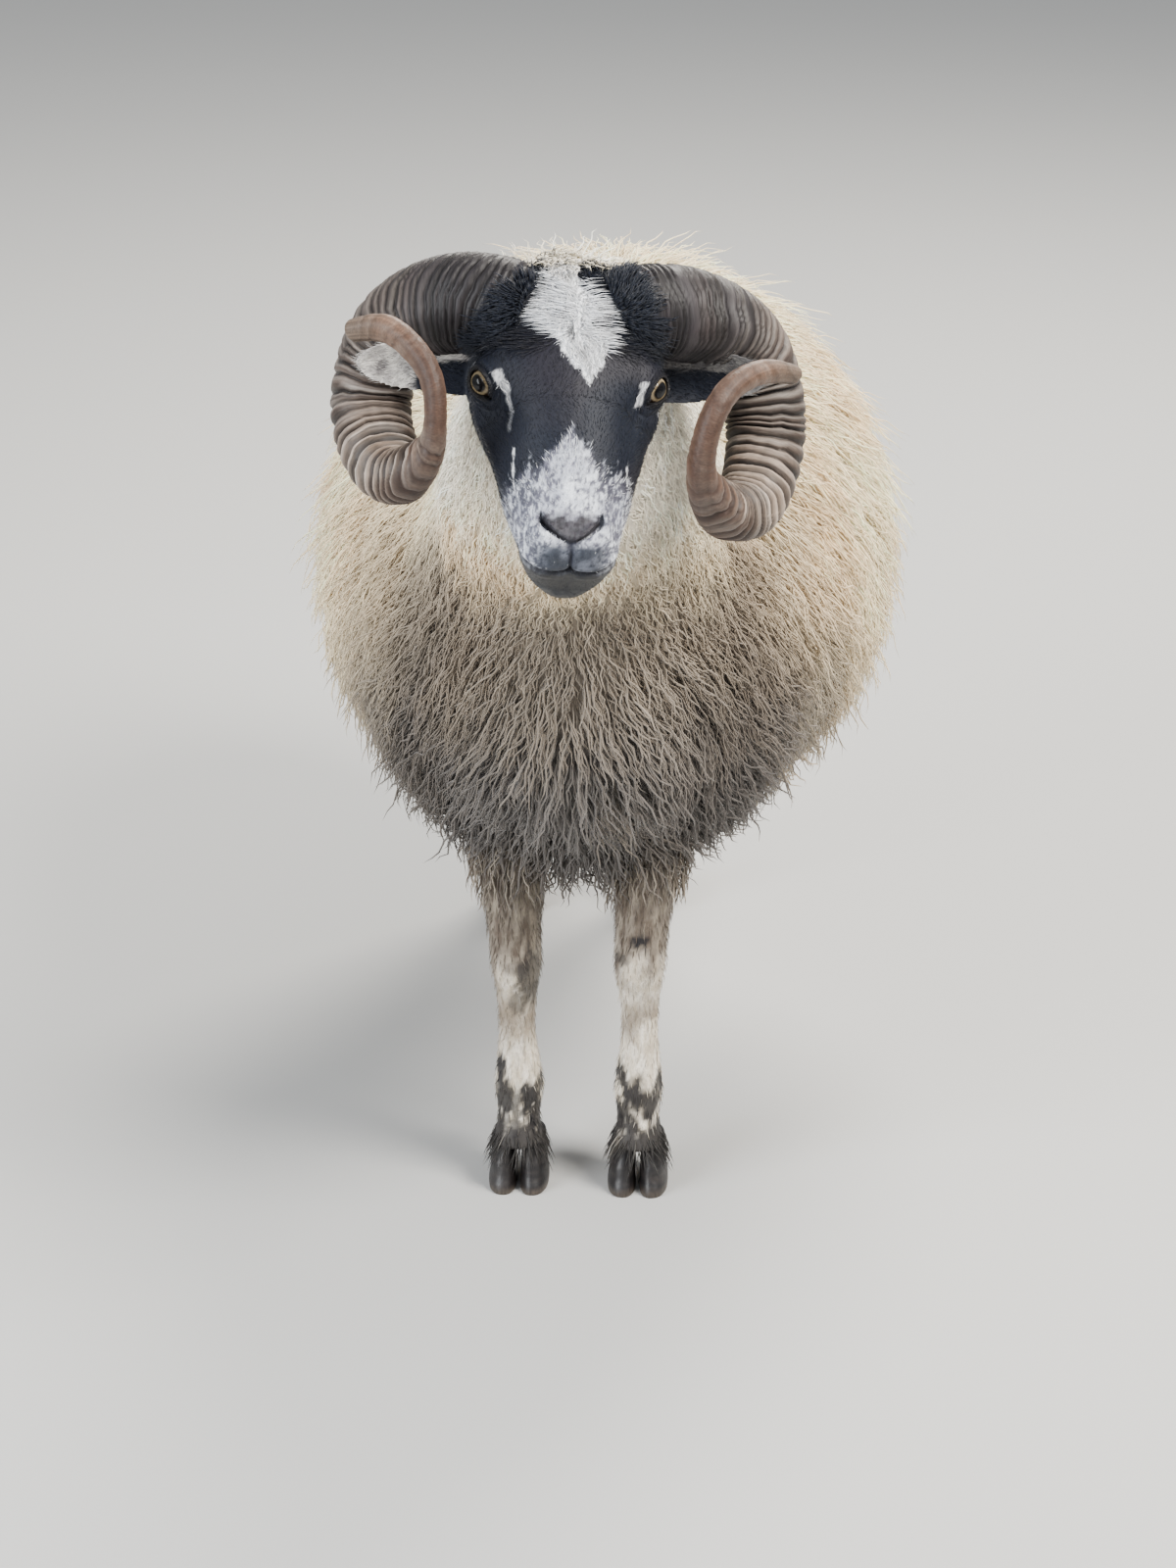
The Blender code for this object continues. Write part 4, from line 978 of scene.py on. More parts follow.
def face_color(co):
    """Colours of the head's skin and hair at points in the head frame."""
    f, u, l = head_axes(co)
    white, jaw = face_white(co)
    rust = smooth(0.2, 0.9, noise(co, 0.05, 31)) * 0.25
    black = mixed(BLACK_WITH_PAINTED_SHEEN, srgb(50, 42, 42), rust)
    share = muzzle_share(co)
    flecks = 0.5 + 0.5 * noise(co * np.array((1, 0.5, 1)), 0.0020, 23, 3)
    speckle = smooth(0.20, -0.20, flecks - 0.08 - 0.66 * share) * smooth(0.02, 0.2, share)
    cloud = 0.5 + 0.5 * noise(co, 0.012, 29, 2)
    ground = mixed(black, srgb(84, 84, 96), smooth(0.15, 0.6, share))
    frost = mixed(srgb(166, 170, 182), srgb(214, 219, 228), smooth(0.3, 0.7, cloud))
    color = mixed(ground, frost, 0.95 * speckle)
    # The lobes of the upper lip are greyer, most beside the groove.
    lobe = lip_lobes(f, u, l)
    smoky = mixed(srgb(42, 46, 54), srgb(88, 92, 104), speckle * smooth(0.25, 0.75, cloud))
    color = mixed(color, smoky, 0.95 * lobe)
    color = mixed(color, WHITE, white)
    color = mixed(color, CREAM, 0.75 * jaw * white)
    # Nose pad, nostrils and lips are bare, greyish skin, with painted shade in the nostrils, the
    # groove below the nose and the line between the lips.
    w = nose_height(f, u)
    above = nostril_edge(l) - w
    top = 0.2065 + 0.0020 * noise(co, 0.0035, 25) + 0.0030 * hill(l - 0.001, 0.004)
    pad = smooth(-0.0010, 0.0006, above) * smooth(-0.002, 0.003, w - top) * (f > NOSE_FROM)
    pad *= smooth(0.0226, 0.0205, np.abs(l))
    mauve = mixed(srgb(28, 26, 29), srgb(50, 46, 51), smooth(-0.6, 0.8, noise(co, 0.0020, 26, 2)))
    color = mixed(color, mauve, 0.94 * pad)
    higher = smooth(0.2000, 0.2070, w + 0.0020 * noise(co, 0.0022, 34, 2))
    higher = higher * smooth(0.0200, 0.0150, np.abs(l))
    bare = 0.62 * higher * (1 - pad) * smooth(-0.001, 0.001, above) * (f > NOSE_FROM)
    color = mixed(color, srgb(96, 94, 102), bare)
    # Painted shade in the openings of the nostrils.
    slit = hill(above, 0.0020) * smooth(0.0250, 0.0230, np.abs(l)) * (f > NOSE_FROM)
    color = mixed(color, srgb(24, 22, 28), 0.85 * slit)
    # Painted shade in the groove from the nose to the lip, widest below the nose.
    wide = 0.0018 + 0.0050 * smooth(0.2360, 0.2275, w)
    groove = hill(l, wide, 4) * smooth(0.2255, 0.2275, w) * smooth(0.2500, 0.2460, w)
    color = mixed(color, srgb(42, 44, 54), 0.85 * groove * (f > NOSE_FROM))
    # Painted shade in the crease between the lips.
    line = lip_line(f, l)
    lips = smooth(0.205, 0.238, f) * hill(u - line, 0.0024)
    color = mixed(color, srgb(32, 30, 34), 0.85 * lips)
    chin = smooth(0.205, 0.225, f) * smooth(0.003, -0.001, u - line)
    low = smooth(-0.074, -0.088, u + 0.003 * noise(co, 0.004, 27))
    tone = mixed(srgb(50, 49, 48), srgb(28, 31, 35), low)
    tone = mixed(tone, srgb(30, 32, 36), 0.5 * smooth(0.0, 0.7, noise(co, 0.0030, 28)))
    color = mixed(color, tone, 0.95 * chin * (1 - lips))
    # Poll, nape and throat go over into the fleece.
    rear = smooth(0.052, 0.030, f + 0.010 * noise(co, 0.02, 33)) * smooth(-0.050, -0.064, u)
    under = smooth(-0.112, -0.122, u) * smooth(0.16, 0.13, f)
    nape = smooth(0.008, -0.008, f)
    color = mixed(color, THROAT, np.maximum(np.maximum(rear, under), nape))
    for side in (1, -1):
        local, reach = at_eye(co, side)
        near = (local[:, 2] > 0) & (lengths(local) < 0.022)
        rim = smooth(1.45, 1.15, reach) * near
        color = mixed(color, srgb(15, 14, 17), 0.95 * rim)
    return color


def ear_share(co):
    """How far along its ear a point of the head frame lies, from below 0 off the ears to 1."""
    across = np.hypot(-co[:, 1] - 0.5 * (EAR_ROOT[0] + EAR_TIP[0]), co[:, 2] - EAR_ROOT[1])
    return (np.abs(co[:, 0]) - 0.068) / (EAR_TIP[2] - 0.068) - 40 * np.maximum(0, across - 0.027)


def ear_color(co, color):
    along = ear_share(co)
    f, u, l = head_axes(co)
    upper = smooth(-0.002, 0.008, (u + 0.0645) * 0.87 - (f - 0.068) * 0.30)
    # The left ear is mostly black: partly its own black hair, partly painted shadow of the horn
    # over it.
    left = l > 0
    pale = smooth(0.46, 0.56, along + 0.08 * noise(co, 0.010, 41, 2) - 0.30 * left)
    streak = smooth(0.7, 1.0, upper) * smooth(0.02, 0.10, along)
    diagonal = hill(along - 0.22 - 0.12 * upper + 0.03 * noise(co, 0.006, 43), 0.05) * 0.7
    diagonal *= smooth(0.3, 0.8, upper)
    from_speck = np.hypot(along * 0.096 - 0.075, u + 0.063) + 0.001 * noise(co, 0.004, 42)
    speck = smooth(0.0062, 0.0038, from_speck)
    on_ear = smooth(-0.03, 0.02, along)
    cloud = smooth(-0.6, 0.6, noise(co, 0.005, 44, 2))
    grey = mixed(srgb(152, 148, 146), srgb(202, 198, 192), cloud)
    tone = mixed(BLACK_WITH_PAINTED_SHEEN, grey, np.maximum(np.maximum(pale, streak), diagonal) * (1 - 0.7 * left))
    tone = mixed(tone, srgb(70, 66, 70), 0.75 * speck * (l < 0))
    return mixed(color, tone, on_ear)


def leg_color(co):
    """Colours of the legs: brownish grey above, pale cannons, black patches and feet."""
    x, y, z = co.T
    hind = smooth(0.3, 0.35, y)
    wander = noise(co * np.array((1, 1, 0.55)), 0.012, 51, 2)
    streak = noise(co * np.array((1, 1, 0.16)), 0.0022, 52, 2)
    color = mixed(srgb(196, 184, 164), srgb(226, 218, 204), smooth(-0.5, 0.8, streak))
    upper = smooth(0.175, 0.240, z + 0.026 * wander)
    color = mixed(color, srgb(84, 74, 65), upper * np.clip(0.88 + 0.34 * streak, 0, 1))
    brown = hill(z - 0.166, 0.026) * smooth(-0.6, 0.4, noise(co, 0.022, 53))
    color = mixed(color, srgb(104, 90, 76), 0.78 * brown)
    ragged = 0.0042 * noise(co * np.array((1, 1, 0.45)), 0.0036, 57, 2)
    dark = np.zeros(len(co))
    for px, pz, rx, rz, strength in LEG_PATCHES:
        away = np.hypot((x - px) / rx, (z - pz) / rz) + ragged / min(rx, rz)
        dark = np.maximum(dark, strength * smooth(1.25, 0.75, away) * (y < 0.012))
    spots = noise(co * np.array((1, 1, 0.62)), 0.017, 54, 2) - 6.0 * np.abs(z - 0.107) ** 1.02
    spots = smooth(0.12, 0.45, spots + 0.10) * smooth(0.004, 0.016, y) * (1 - 0.3 * hind)
    dark = np.maximum(dark, spots)
    color = mixed(color, srgb(30, 29, 32), dark)
    foot = smooth(0.078, 0.062, z + 0.014 * wander + 0.006 * streak)
    return mixed(color, srgb(30, 28, 30), 0.97 * foot)


def fleece_color(co):
    """Colour of the wool over the body: cream above and behind, with painted light on top, and
    painted shade that makes it greyer low on the chest and under the belly.
    """
    tone = noise(co, 0.11, 61, 2)
    color = mixed(srgb(254, 234, 194), srgb(248, 220, 178), smooth(-0.5, 0.6, tone))
    # Painted light: the top of the fleece is lighter.
    top = smooth(0.62, 0.78, co[:, 2])
    color = mixed(color, srgb(254, 240, 206), 0.8 * top)
    front = smooth(0.36, -0.06, co[:, 1] + 0.05 * noise(co, 0.08, 65, 2))
    throat = smooth(0.60, 0.72, co[:, 2] + 0.030 * noise(co, 0.05, 66, 2))
    color = mixed(color, THROAT, 0.80 * (throat * smooth(0.08, -0.10, co[:, 1])))
    # Painted shade on the front of the chest: greyer below the head, darker lower down, a little
    # less in pale streaks near the middle.
    middle = smooth(0.67, 0.57, co[:, 2] + 0.030 * noise(co, 0.06, 63, 2))
    middle *= smooth(0.21, 0.12, np.abs(co[:, 0]) - 0.5 * np.maximum(0, 0.56 - co[:, 2]))
    color = mixed(color, srgb(122, 110, 100), 0.88 * front * middle)
    low = smooth(0.585, 0.405, co[:, 2] + 0.040 * noise(co, 0.05, 62, 2))
    pale = smooth(-0.2, 0.6, noise(co * np.array((1, 1, 0.3)), 0.03, 64))
    pale = pale * hill(co[:, 0] - 0.02, 0.05)
    color = mixed(color, srgb(86, 82, 80), 0.94 * front * low * (1 - 0.45 * pale))
    # Painted shade under the belly.
    under = smooth(0.50, 0.28, co[:, 2])
    return mixed(color, srgb(158, 140, 120), 0.62 * under * (1 - front))


# Tufts

def sampled(co, tris, uv, spacing):
    """Places on a mesh at least about spacing apart: point, normal and unwrap there."""
    a, b, c = co[tris[:, 0]], co[tris[:, 1]], co[tris[:, 2]]
    area = lengths(np.cross(b - a, c - a)) / 2
    count = int(area.sum() / spacing**2 * 3.2)
    points, normal, places, _ = scattered(co, tris, uv, 1.0, count)
    kept = spaced(points, spacing)
    return points[kept], normal[kept], places[kept]


def tuft_mesh(name, path, normal, width, flat, profile, tint, painted_root_shade, places, look):
    """One mesh of three-sided tapered tufts. path is tufts by rings by 3, the last its tip.

    Each tuft has its tint at the tip, and a darker copy of it at the root: painted shade among the
    hairs near the skin, in the fleece partly dirt too.
    """
    count, rings = path.shape[0], path.shape[1] - 1
    ahead = unit(np.gradient(path, axis=1))[:, :rings]
    side = unit(np.cross(ahead, normal[:, None]))
    over = np.cross(side, ahead)
    size = width[:, None] / 2 * np.asarray(profile)[None, :]
    verts = np.empty((count, rings * 3 + 1, 3))
    for k in range(3):
        angle = 2 * math.pi * k / 3 + math.pi / 2
        reach = side * math.cos(angle) + over * math.sin(angle) * flat
        verts[:, k:rings * 3:3] = path[:, :rings] + reach * size[..., None]
    verts[:, -1] = path[:, -1]
    faces = []
    for r in range(rings - 1):
        for k in range(3):
            a, b = r * 3 + k, r * 3 + (k + 1) % 3
            faces += [(a, b, b + 3), (a, b + 3, a + 3)]
    last = (rings - 1) * 3
    faces += [(last + k, last + (k + 1) % 3, rings * 3) for k in range(3)]
    faces.append((2, 1, 0))
    faces = np.array(faces)
    span = rings * 3 + 1
    every = (faces[None] + np.arange(count)[:, None, None] * span).reshape(-1, 3)
    obj = raw_mesh(name, verts.reshape(-1, 3), every)
    step = lengths(np.diff(path, axis=1))
    walked = np.concatenate([np.zeros((count, 1)), np.cumsum(step, 1)], 1)
    walked = walked[:, np.append(np.repeat(np.arange(rings), 3), rings)]
    share = walked / walked[:, -1:]
    share_of = share[..., None]
    # Darker towards the root: painted shade among the hairs, in the fleece partly dirt too.
    color = (tint * painted_root_shade)[:, None] * (1 - share_of) + tint[:, None] * share_of
    paint(obj, "Col", color.reshape(-1, 3))
    around = np.append(np.tile(np.arange(3) / 3, rings), 0.5)
    strand = np.stack([
        np.broadcast_to(around, (count, span)),
        walked,
        np.broadcast_to(rng.random(count)[:, None], (count, span)),
    ], -1)
    paint(obj, "Strand", strand.reshape(-1, 3))
    patch = np.stack(np.broadcast_arrays(around - 0.5, share - 0.5), -1) * 0.003
    uv = (places[:, None] + patch).reshape(-1, 2)
    layer = obj.data.uv_layers.new(name="OFBake")
    layer.data.foreach_set("uv", uv[every.ravel()].astype(np.float32).ravel())
    place(obj, look)


EVEN = {n: np.arange(n + 1) / n for n in (2, 3, 5, 6)}
# Rings of a fleece strand: few where it is covered, more where it waves in the open.
OPEN = np.array((0, 0.34, 0.52, 0.69, 0.85, 1.0))


def curved_path(root, normal, lie, length, lift, droop, t, wave, turns, phase):
    """Paths that leave the skin at the angle lift, end at droop, and wave on the way."""
    middle = (t[1:] + t[:-1]) / 2
    angle = lift[:, None] * (1 - middle) ** 1.2 + droop[:, None] * middle
    step = (
        lie[:, None] * np.cos(angle)[..., None] + normal[:, None] * np.sin(angle)[..., None]
    ) * (length[:, None] * np.diff(t))[..., None]
    path = np.concatenate([np.zeros((len(root), 1, 3)), np.cumsum(step, 1)], 1)
    side = np.cross(normal, lie)
    swing = 2 * math.pi * (turns[:, None] * t + phase[:, None])
    amount = wave[:, None] * smooth(0.0, 0.35, t)
    path += side[:, None] * (np.sin(swing) * amount)[..., None]
    path += normal[:, None] * (np.cos(swing) * amount * 0.45)[..., None]
    return path + root[:, None]


def straight_path(root, normal, lie, length, lift, droop):
    """Paths of short hairs that don't wave."""
    count = len(root)
    return curved_path(root, normal, lie, length, lift, droop, EVEN[2], np.zeros(count),
                       np.ones(count), rng.random(count))


def turned(lie, normal, angle):
    """Directions turned about the surface's normal."""
    c, s = np.cos(angle)[:, None], np.sin(angle)[:, None]
    return lie * c + np.cross(normal, lie) * s


def only(keep, *rows):
    return [row[keep] for row in rows]


def uneven(color, spread, low, high):
    """Rows of colour, each a little brighter or darker."""
    return color * np.clip(1 + rng.normal(0, spread, len(color)), low, high)[:, None]


# A triangle that is wider than this on the unwrap spans its seam.
SEAM = 0.06


def on_unwrap(uv, tris, shares):
    """Places on an unwrap from each corner's share; over the seam, one corner stands for all."""
    corners = uv[tris]
    split = np.ptp(corners, axis=1).max(1) > SEAM
    corners[split] = corners[split][:, :1]
    return sum(corners[:, k] * shares[k] for k in range(3))


def scattered(co, tris, uv, weight, count):
    """That many random places on a mesh, more where the weight of its triangles is greater."""
    a, b, c = co[tris[:, 0]], co[tris[:, 1]], co[tris[:, 2]]
    cross = np.cross(b - a, c - a)
    area = np.cumsum(lengths(cross) * weight)
    share = (np.arange(count) + rng.random(count)) / count
    pick = np.minimum(np.searchsorted(area, share * area[-1]), len(tris) - 1)
    r1, r2 = np.sqrt(rng.random(count))[:, None], rng.random(count)[:, None]
    shares = (1 - r1, r1 * (1 - r2), r1 * r2)
    points = a[pick] * shares[0] + b[pick] * shares[1] + c[pick] * shares[2]
    return points, unit(cross[pick]), on_unwrap(uv, tris[pick], shares), pick


def nearest(points, centres):
    """Which of the centres each point is nearest to."""
    tree = KDTree(len(centres))
    for k, centre in enumerate(centres):
        tree.insert(centre, k)
    tree.balance()
    return np.array([tree.find(p)[1] for p in points])


WOOL_PROFILE = (0.75, 1.0, 1.0, 0.86, 0.60)
CURL_PROFILE = (0.70, 0.95, 1.0, 0.95, 0.82, 0.58)
LOCK_SPACING = 0.0078
STRANDS = 38500
STRAYS = 0.08
FLEECE_PIECES = 6
GATHER = 0.30
FACE_SPACING = 0.0020
POLL_SPACING = 0.0031
BLAZE_SPACING = 0.0021
LEG_SPACING = 0.0046
# The hair over the hooves grows closer, below this height.
RIM_SPACING = 0.0030
RIM_TOP = 0.056
# Height above which hind and front legs carry wool.
LEG_WOOL_FROM = (0.300, 0.305)
# The hair on a horn's root: places tried, and the share of the horn's length they lie in.
CUFF_TRIES = 7000
CUFF_END = 0.14
HORN_ROOT_RADIUS = 0.034
FACE_LOOK = ("hair", "face_hair")
WOOL_LOOK = ("wool", "wool")


def grid_uv(rings, segments, box):
    """An unwrap of a loft: round it and along it, in its own rectangle of the sheet."""
    u = box[0] + (box[2] - box[0]) * (np.arange(segments) / segments)
    v = box[1] + (box[3] - box[1]) * (np.arange(rings) / (rings - 1))
    uv = np.stack(np.broadcast_arrays(u[None, :], v[:, None]), -1).reshape(-1, 2)
    ends = [((box[0] + box[2]) / 2, box[1]), ((box[0] + box[2]) / 2, box[3])]
    return np.concatenate([uv, ends])


def uncovered(points, tree, limit=0.0012):
    """Which of the points lie on the finished skin and not inside another part of it."""
    return np.array([
        (found := tree.find_nearest(Vector(p)))[0] is not None and found[3] < limit for p in points
    ], bool)


def wool_lie(points, normal):
    """The way the wool falls: parted along the back, down and a little back."""
    x = points[:, 0] - TORSO_X
    aside = 0.14 * np.clip(x / 0.03, -1, 1) + 3.4 * x
    fall = np.stack([aside, np.full(len(points), 0.36), np.full(len(points), -1.0)], -1)
    swirl = 0.26 * noise(points, 0.09, 71, 2)
    return turned(flat_on(fall, normal), normal, swirl)


# Materials

def with_inputs(node, **values):
    """The node with these inputs set; their names have _ for each space."""
    for key, value in values.items():
        node.inputs[key.replace("_", " ")].default_value = value
    return node


def node_shader(name, roughness, **constants):
    made = bpy.data.materials.new(name)
    made.use_nodes = True
    nodes, links = made.node_tree.nodes, made.node_tree.links
    shader = with_inputs(nodes["Principled BSDF"], Roughness=roughness, **constants)
    return made, nodes, links, shader


def attribute(nodes, name):
    node = nodes.new("ShaderNodeAttribute")
    node.attribute_name = name
    return node


def scaled_noise(nodes, links, vector, scale, size, detail=3):
    """Noise on a vector that is first stretched by scale."""
    stretch = with_inputs(nodes.new("ShaderNodeMapping"), Scale=scale)
    links.new(vector, stretch.inputs["Vector"])
    grain = with_inputs(nodes.new("ShaderNodeTexNoise"), Scale=size, Detail=detail)
    links.new(stretch.outputs["Vector"], grain.inputs["Vector"])
    return grain.outputs["Fac"]


def varied(nodes, links, color, grain, low, high):
    """Colour multiplied by a grey that the grain moves from low to high."""
    span = with_inputs(
        nodes.new("ShaderNodeMapRange"), From_Min=0.3, From_Max=0.7, To_Min=low, To_Max=high
    )
    links.new(grain, span.inputs["Value"])
    mix = nodes.new("ShaderNodeVectorMath")
    mix.operation = "SCALE"
    links.new(color, mix.inputs[0])
    links.new(span.outputs["Result"], mix.inputs["Scale"])
    return mix.outputs["Vector"]


def grained(name, roughness, source, scale, size, detail, shades, relief, **constants):
    """A material whose colour and relief follow one noise, and what was made for it."""
    made, nodes, links, shader = node_shader(name, roughness, **constants)
    vector = attribute(nodes, source).outputs["Vector"]
    grain = scaled_noise(nodes, links, vector, scale, size, detail)
    color = varied(nodes, links, attribute(nodes, "Col").outputs["Color"], grain, *shades)
    links.new(color, shader.inputs["Base Color"])
    bump = with_inputs(nodes.new("ShaderNodeBump"), Strength=relief[0], Distance=relief[1])
    links.new(grain, bump.inputs["Height"])
    links.new(bump.outputs["Normal"], shader.inputs["Normal"])
    return made, nodes, links, shader, grain


def strand_material(name, roughness, shades, sheen):
    """Fibres along each strand."""
    return grained(
        name, roughness, "Strand", (7.0, 90.0, 40.0), 1.0, 3, shades, (0.35, 0.0005),
        Sheen_Weight=sheen, Sheen_Roughness=0.4, Specular_IOR_Level=0.30,
    )[0]


def horn_material():
    made, nodes, links, shader, fine = grained(
        "ridged_horn", 0.50, "Flow", (1, 6, 1), 160, 5, (0.72, 1.25), (0.5, 0.0008),
        Specular_IOR_Level=0.28,
    )
    rough = with_inputs(nodes.new("ShaderNodeMapRange"), To_Min=0.38, To_Max=0.68)
    links.new(fine, rough.inputs["Value"])
    links.new(rough.outputs["Result"], shader.inputs["Roughness"])
    return made


def eye_material():
    made, nodes, links, shader = node_shader(
        "wet_eye", 0.45, Coat_Weight=0.35, Coat_Roughness=0.04, Specular_IOR_Level=0.08
    )
    links.new(attribute(nodes, "Col").outputs["Color"], shader.inputs["Base Color"])
    return made


MATERIALS = {
    # Short flat hair: streaks along the lie of the coat, in colour and in relief.
    "skin": grained(
        "short_coat", 0.55, "Flow", (1, 1, 1), 2100, 3, (0.72, 1.28), (0.40, 0.0005),
        Sheen_Weight=0.03, Specular_IOR_Level=0.22,
    )[0],
    "wool": strand_material("wool_strands", 0.82, (0.80, 1.18), 0.20),
    "hair": strand_material("short_hairs", 0.52, (0.75, 1.25), 0.03),
    "horn": horn_material(),
    "hoof": grained(
        "hoof_horn", 0.45, "Flow", (1, 1, 0.25), 700, 4, (0.6, 1.5), (0.4, 0.0006)
    )[0],
    "eye": eye_material(),
}


def place(obj, look):
    """Gives a piece its material and moves it into the row frame."""
    material, slot = look
    obj.data.materials.clear()
    obj.data.materials.append(MATERIALS[material])
    obj.data.transform(Matrix.Translation(SHIFT))
    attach(obj, "root")


# Skin

def unwrapped(co, part):
    """How far points lie from a form, and the places nearest to them on its unwrap."""
    points, tris, uv = part
    tree = tree_over(points, tris)
    found = [tree.find_nearest(p) for p in co.tolist()]
    at = np.array([hit[0] for hit in found])
    index = np.array([hit[2] for hit in found])
    a, b, c = (points[tris[index, k]] for k in range(3))
    face = np.cross(b - a, c - a)
    area = (face * face).sum(1)
    wa = (np.cross(b - at, c - at) * face).sum(1) / area
    wb = (np.cross(c - at, a - at) * face).sum(1) / area
    shares = [share[:, None] for share in (wa, wb, 1 - wa - wb)]
    return np.array([hit[3] for hit in found]), on_unwrap(uv, tris[index], shares)


def make_body(parts):
    """Torso, neck and tail as one form, with the crease between neck and torso filled."""
    lofts = []
    grid, ends = torso_grid(BODY_WOOL * CORE_SHARE)
    for name, grid, box, ends in (
        ("torso", grid, (0.02, 0.02, 0.50, 0.62), ends),
        ("neck", neck_grid(CORE_SHARE), (0.52, 0.02, 0.98, 0.26), (None, None)),
        ("tail", tail_grid(CORE_SHARE), (0.88, 0.30, 0.98, 0.98), (None, None)),
    ):
        obj = loft(name, grid, *ends)
        parts[name] = (positions(obj), triangles(obj), grid_uv(*grid.shape[:2], box))
        lofts.append(obj)
    body = boolean(lofts[0], "UNION", lofts[1:])
    evened(body, BODY_VOXEL)
    co = positions(body)
    torso, neck, tail = (unwrapped(co, part)[0] for part in parts.values())
    crease = smooth(0.075, 0.020, np.maximum(torso, neck))
    crease = np.maximum(crease, smooth(0.030, 0.010, np.maximum(torso, tail)) * (co[:, 2] > 0.6))
    relaxed(body, 260, crease, 0.3)
    co = positions(body)
    found = [unwrapped(co, part) for part in parts.values()]
    away = np.stack([row[0] for row in found], -1)
    places = np.stack([row[1] for row in found], 1)
    places = places[np.arange(len(co)), away.argmin(1)]
    near = 1 / (away + 0.012) ** 2
    near /= near.sum(1, keepdims=True)
    neck_depth = neck_wool(smooth(0.10, -0.22, co[:, 1]))
    depth = np.stack([np.full(len(co), BODY_WOOL), neck_depth, np.full(len(co), TAIL_WOOL)], -1)
    coat = {
        "co": co,
        "tris": triangles(body),
        "uv": places,
        "near": near,
        "depth": (near * depth).sum(1) * (1 - CORE_SHARE),
    }
    return body, coat


def make_skin():
    """One skin for head, ears, neck, torso, tail and legs; and what its coats need."""
    parts = {}
    body, coat = make_body(parts)
    others, knob_places = [], []
    for k, (name, side, stations, x, y) in enumerate(leg_places()):
        grid = leg_grid(side, stations, x, y)
        obj = loft("leg", grid)
        box = (0.02 + 0.12 * k, 0.66, 0.13 + 0.12 * k, 0.98)
        parts["leg_" + name] = (positions(obj), triangles(obj), grid_uv(*grid.shape[:2], box))
        others.append(obj)
        for half in (1, -1):
            knob_places.append(dewclaw_place(side, stations, x, y, half))
            others.append(round_ball(DEWCLAW, Vector(), knob_places[-1]))
    head = make_head_skin()
    co, tris = positions(head), triangles(head)
    local = moved(co, HEAD.inverted())
    angle = np.arctan2(local[:, 0], local[:, 2] + 0.06) / (2 * math.pi) + 0.5
    along = np.clip((0.07 - local[:, 1]) / 0.34, 0, 1)
    parts["head"] = (co, tris, np.stack([0.52 + 0.34 * angle, 0.30 + 0.68 * along], -1))
    others.append(head)
    skin = boolean(body, "UNION", others)
    skin.name = skin.data.name = "skin"
    co = positions(skin)
    local = moved(co, HEAD.inverted())
    knobs = np.array([moved(np.zeros((1, 3)), place_at)[0] for place_at in knob_places])

    def on_part(name, among):
        points, faces, _ = parts[name]
        tree = tree_over(points, faces)
        found = np.zeros(len(co), bool)
        found[among] = [tree.find_nearest(p, 0.0004)[0] is not None for p in co[among].tolist()]
        return found

    on_head = on_part("head", co[:, 1] < 0.02)
    # Under the fleece the skin has the wool's colour, darkened: painted shade beneath the strands.
    color = fleece_color(co) * 0.60
    flow = co * np.array((1, 1, 0.14))
    color[on_head] = ear_color(local[on_head], face_color(local[on_head]))
    flow[on_head] = (local * np.array((1, 0.10, 1)))[on_head]
    for name in parts:
        if name.startswith("leg_"):
            on_leg = on_part(name, (co[:, 2] < 0.46) & ~on_head)
            color[on_leg] = leg_color(co[on_leg])
    knob = lengths(co[:, None] - knobs[None]).min(1) < 1.15 * max(DEWCLAW)
    color[knob & (co[:, 2] < 0.12)] = HOOF_DARK
    paint(skin, "Col", color)
    paint(skin, "Flow", flow)
    skin_tree = tree_over(co, triangles(skin))
    place(skin, ("skin", "face_hair"))
    names = ["head", "neck", "torso", "tail", "ear_left", "ear_right"]
    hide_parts(*names, *("leg_" + name for name, *_ in leg_places()))
    return parts, coat, skin_tree


# Coats

def locks(points, normal, lie, depth, size, gather):
    """Strand paths in locks: neighbours share a lock's own bend and run towards its line."""
    centres = spaced(points, LOCK_SPACING)
    index = nearest(points, points[centres])
    centre = points[centres][index]
    own = {key: value[centres][index] for key, value in size.items()}
    own_lie = flat_on(lie[centres][index], normal)
    count, n = len(points), len(centres)
    lock = {key: rng.normal(0, spread, n)[index] for key, spread in
            (("turn", 0.17), ("lift", 0.07), ("droop", 0.07), ("long", 0.09))}
    phase = rng.random(n)[index] + rng.normal(0, 0.05, count)
    stray = rng.random(count) < STRAYS
    path = curved_path(
        points - normal * 0.004,
        normal,
        turned(own_lie, normal, lock["turn"] + rng.normal(0, 0.11, count)),
        depth * own["long"] * (1 + lock["long"]) * rng.uniform(0.78, 1.12, count)
        * (1 + 0.12 * stray),
        own["lift"] + lock["lift"] + rng.normal(0, 0.09, count),
        own["droop"] + lock["droop"] + rng.normal(0, 0.09, count) + 0.35 * stray,
        OPEN,
        own["wave"] * rng.uniform(0.6, 1.3, count),
        own["turns"] * rng.uniform(0.9, 1.15, count),
        phase,
    )
    offset = points - centre
    path -= offset[:, None] * (gather * smooth(0.1, 1, OPEN))[None, :, None]
    return path, index


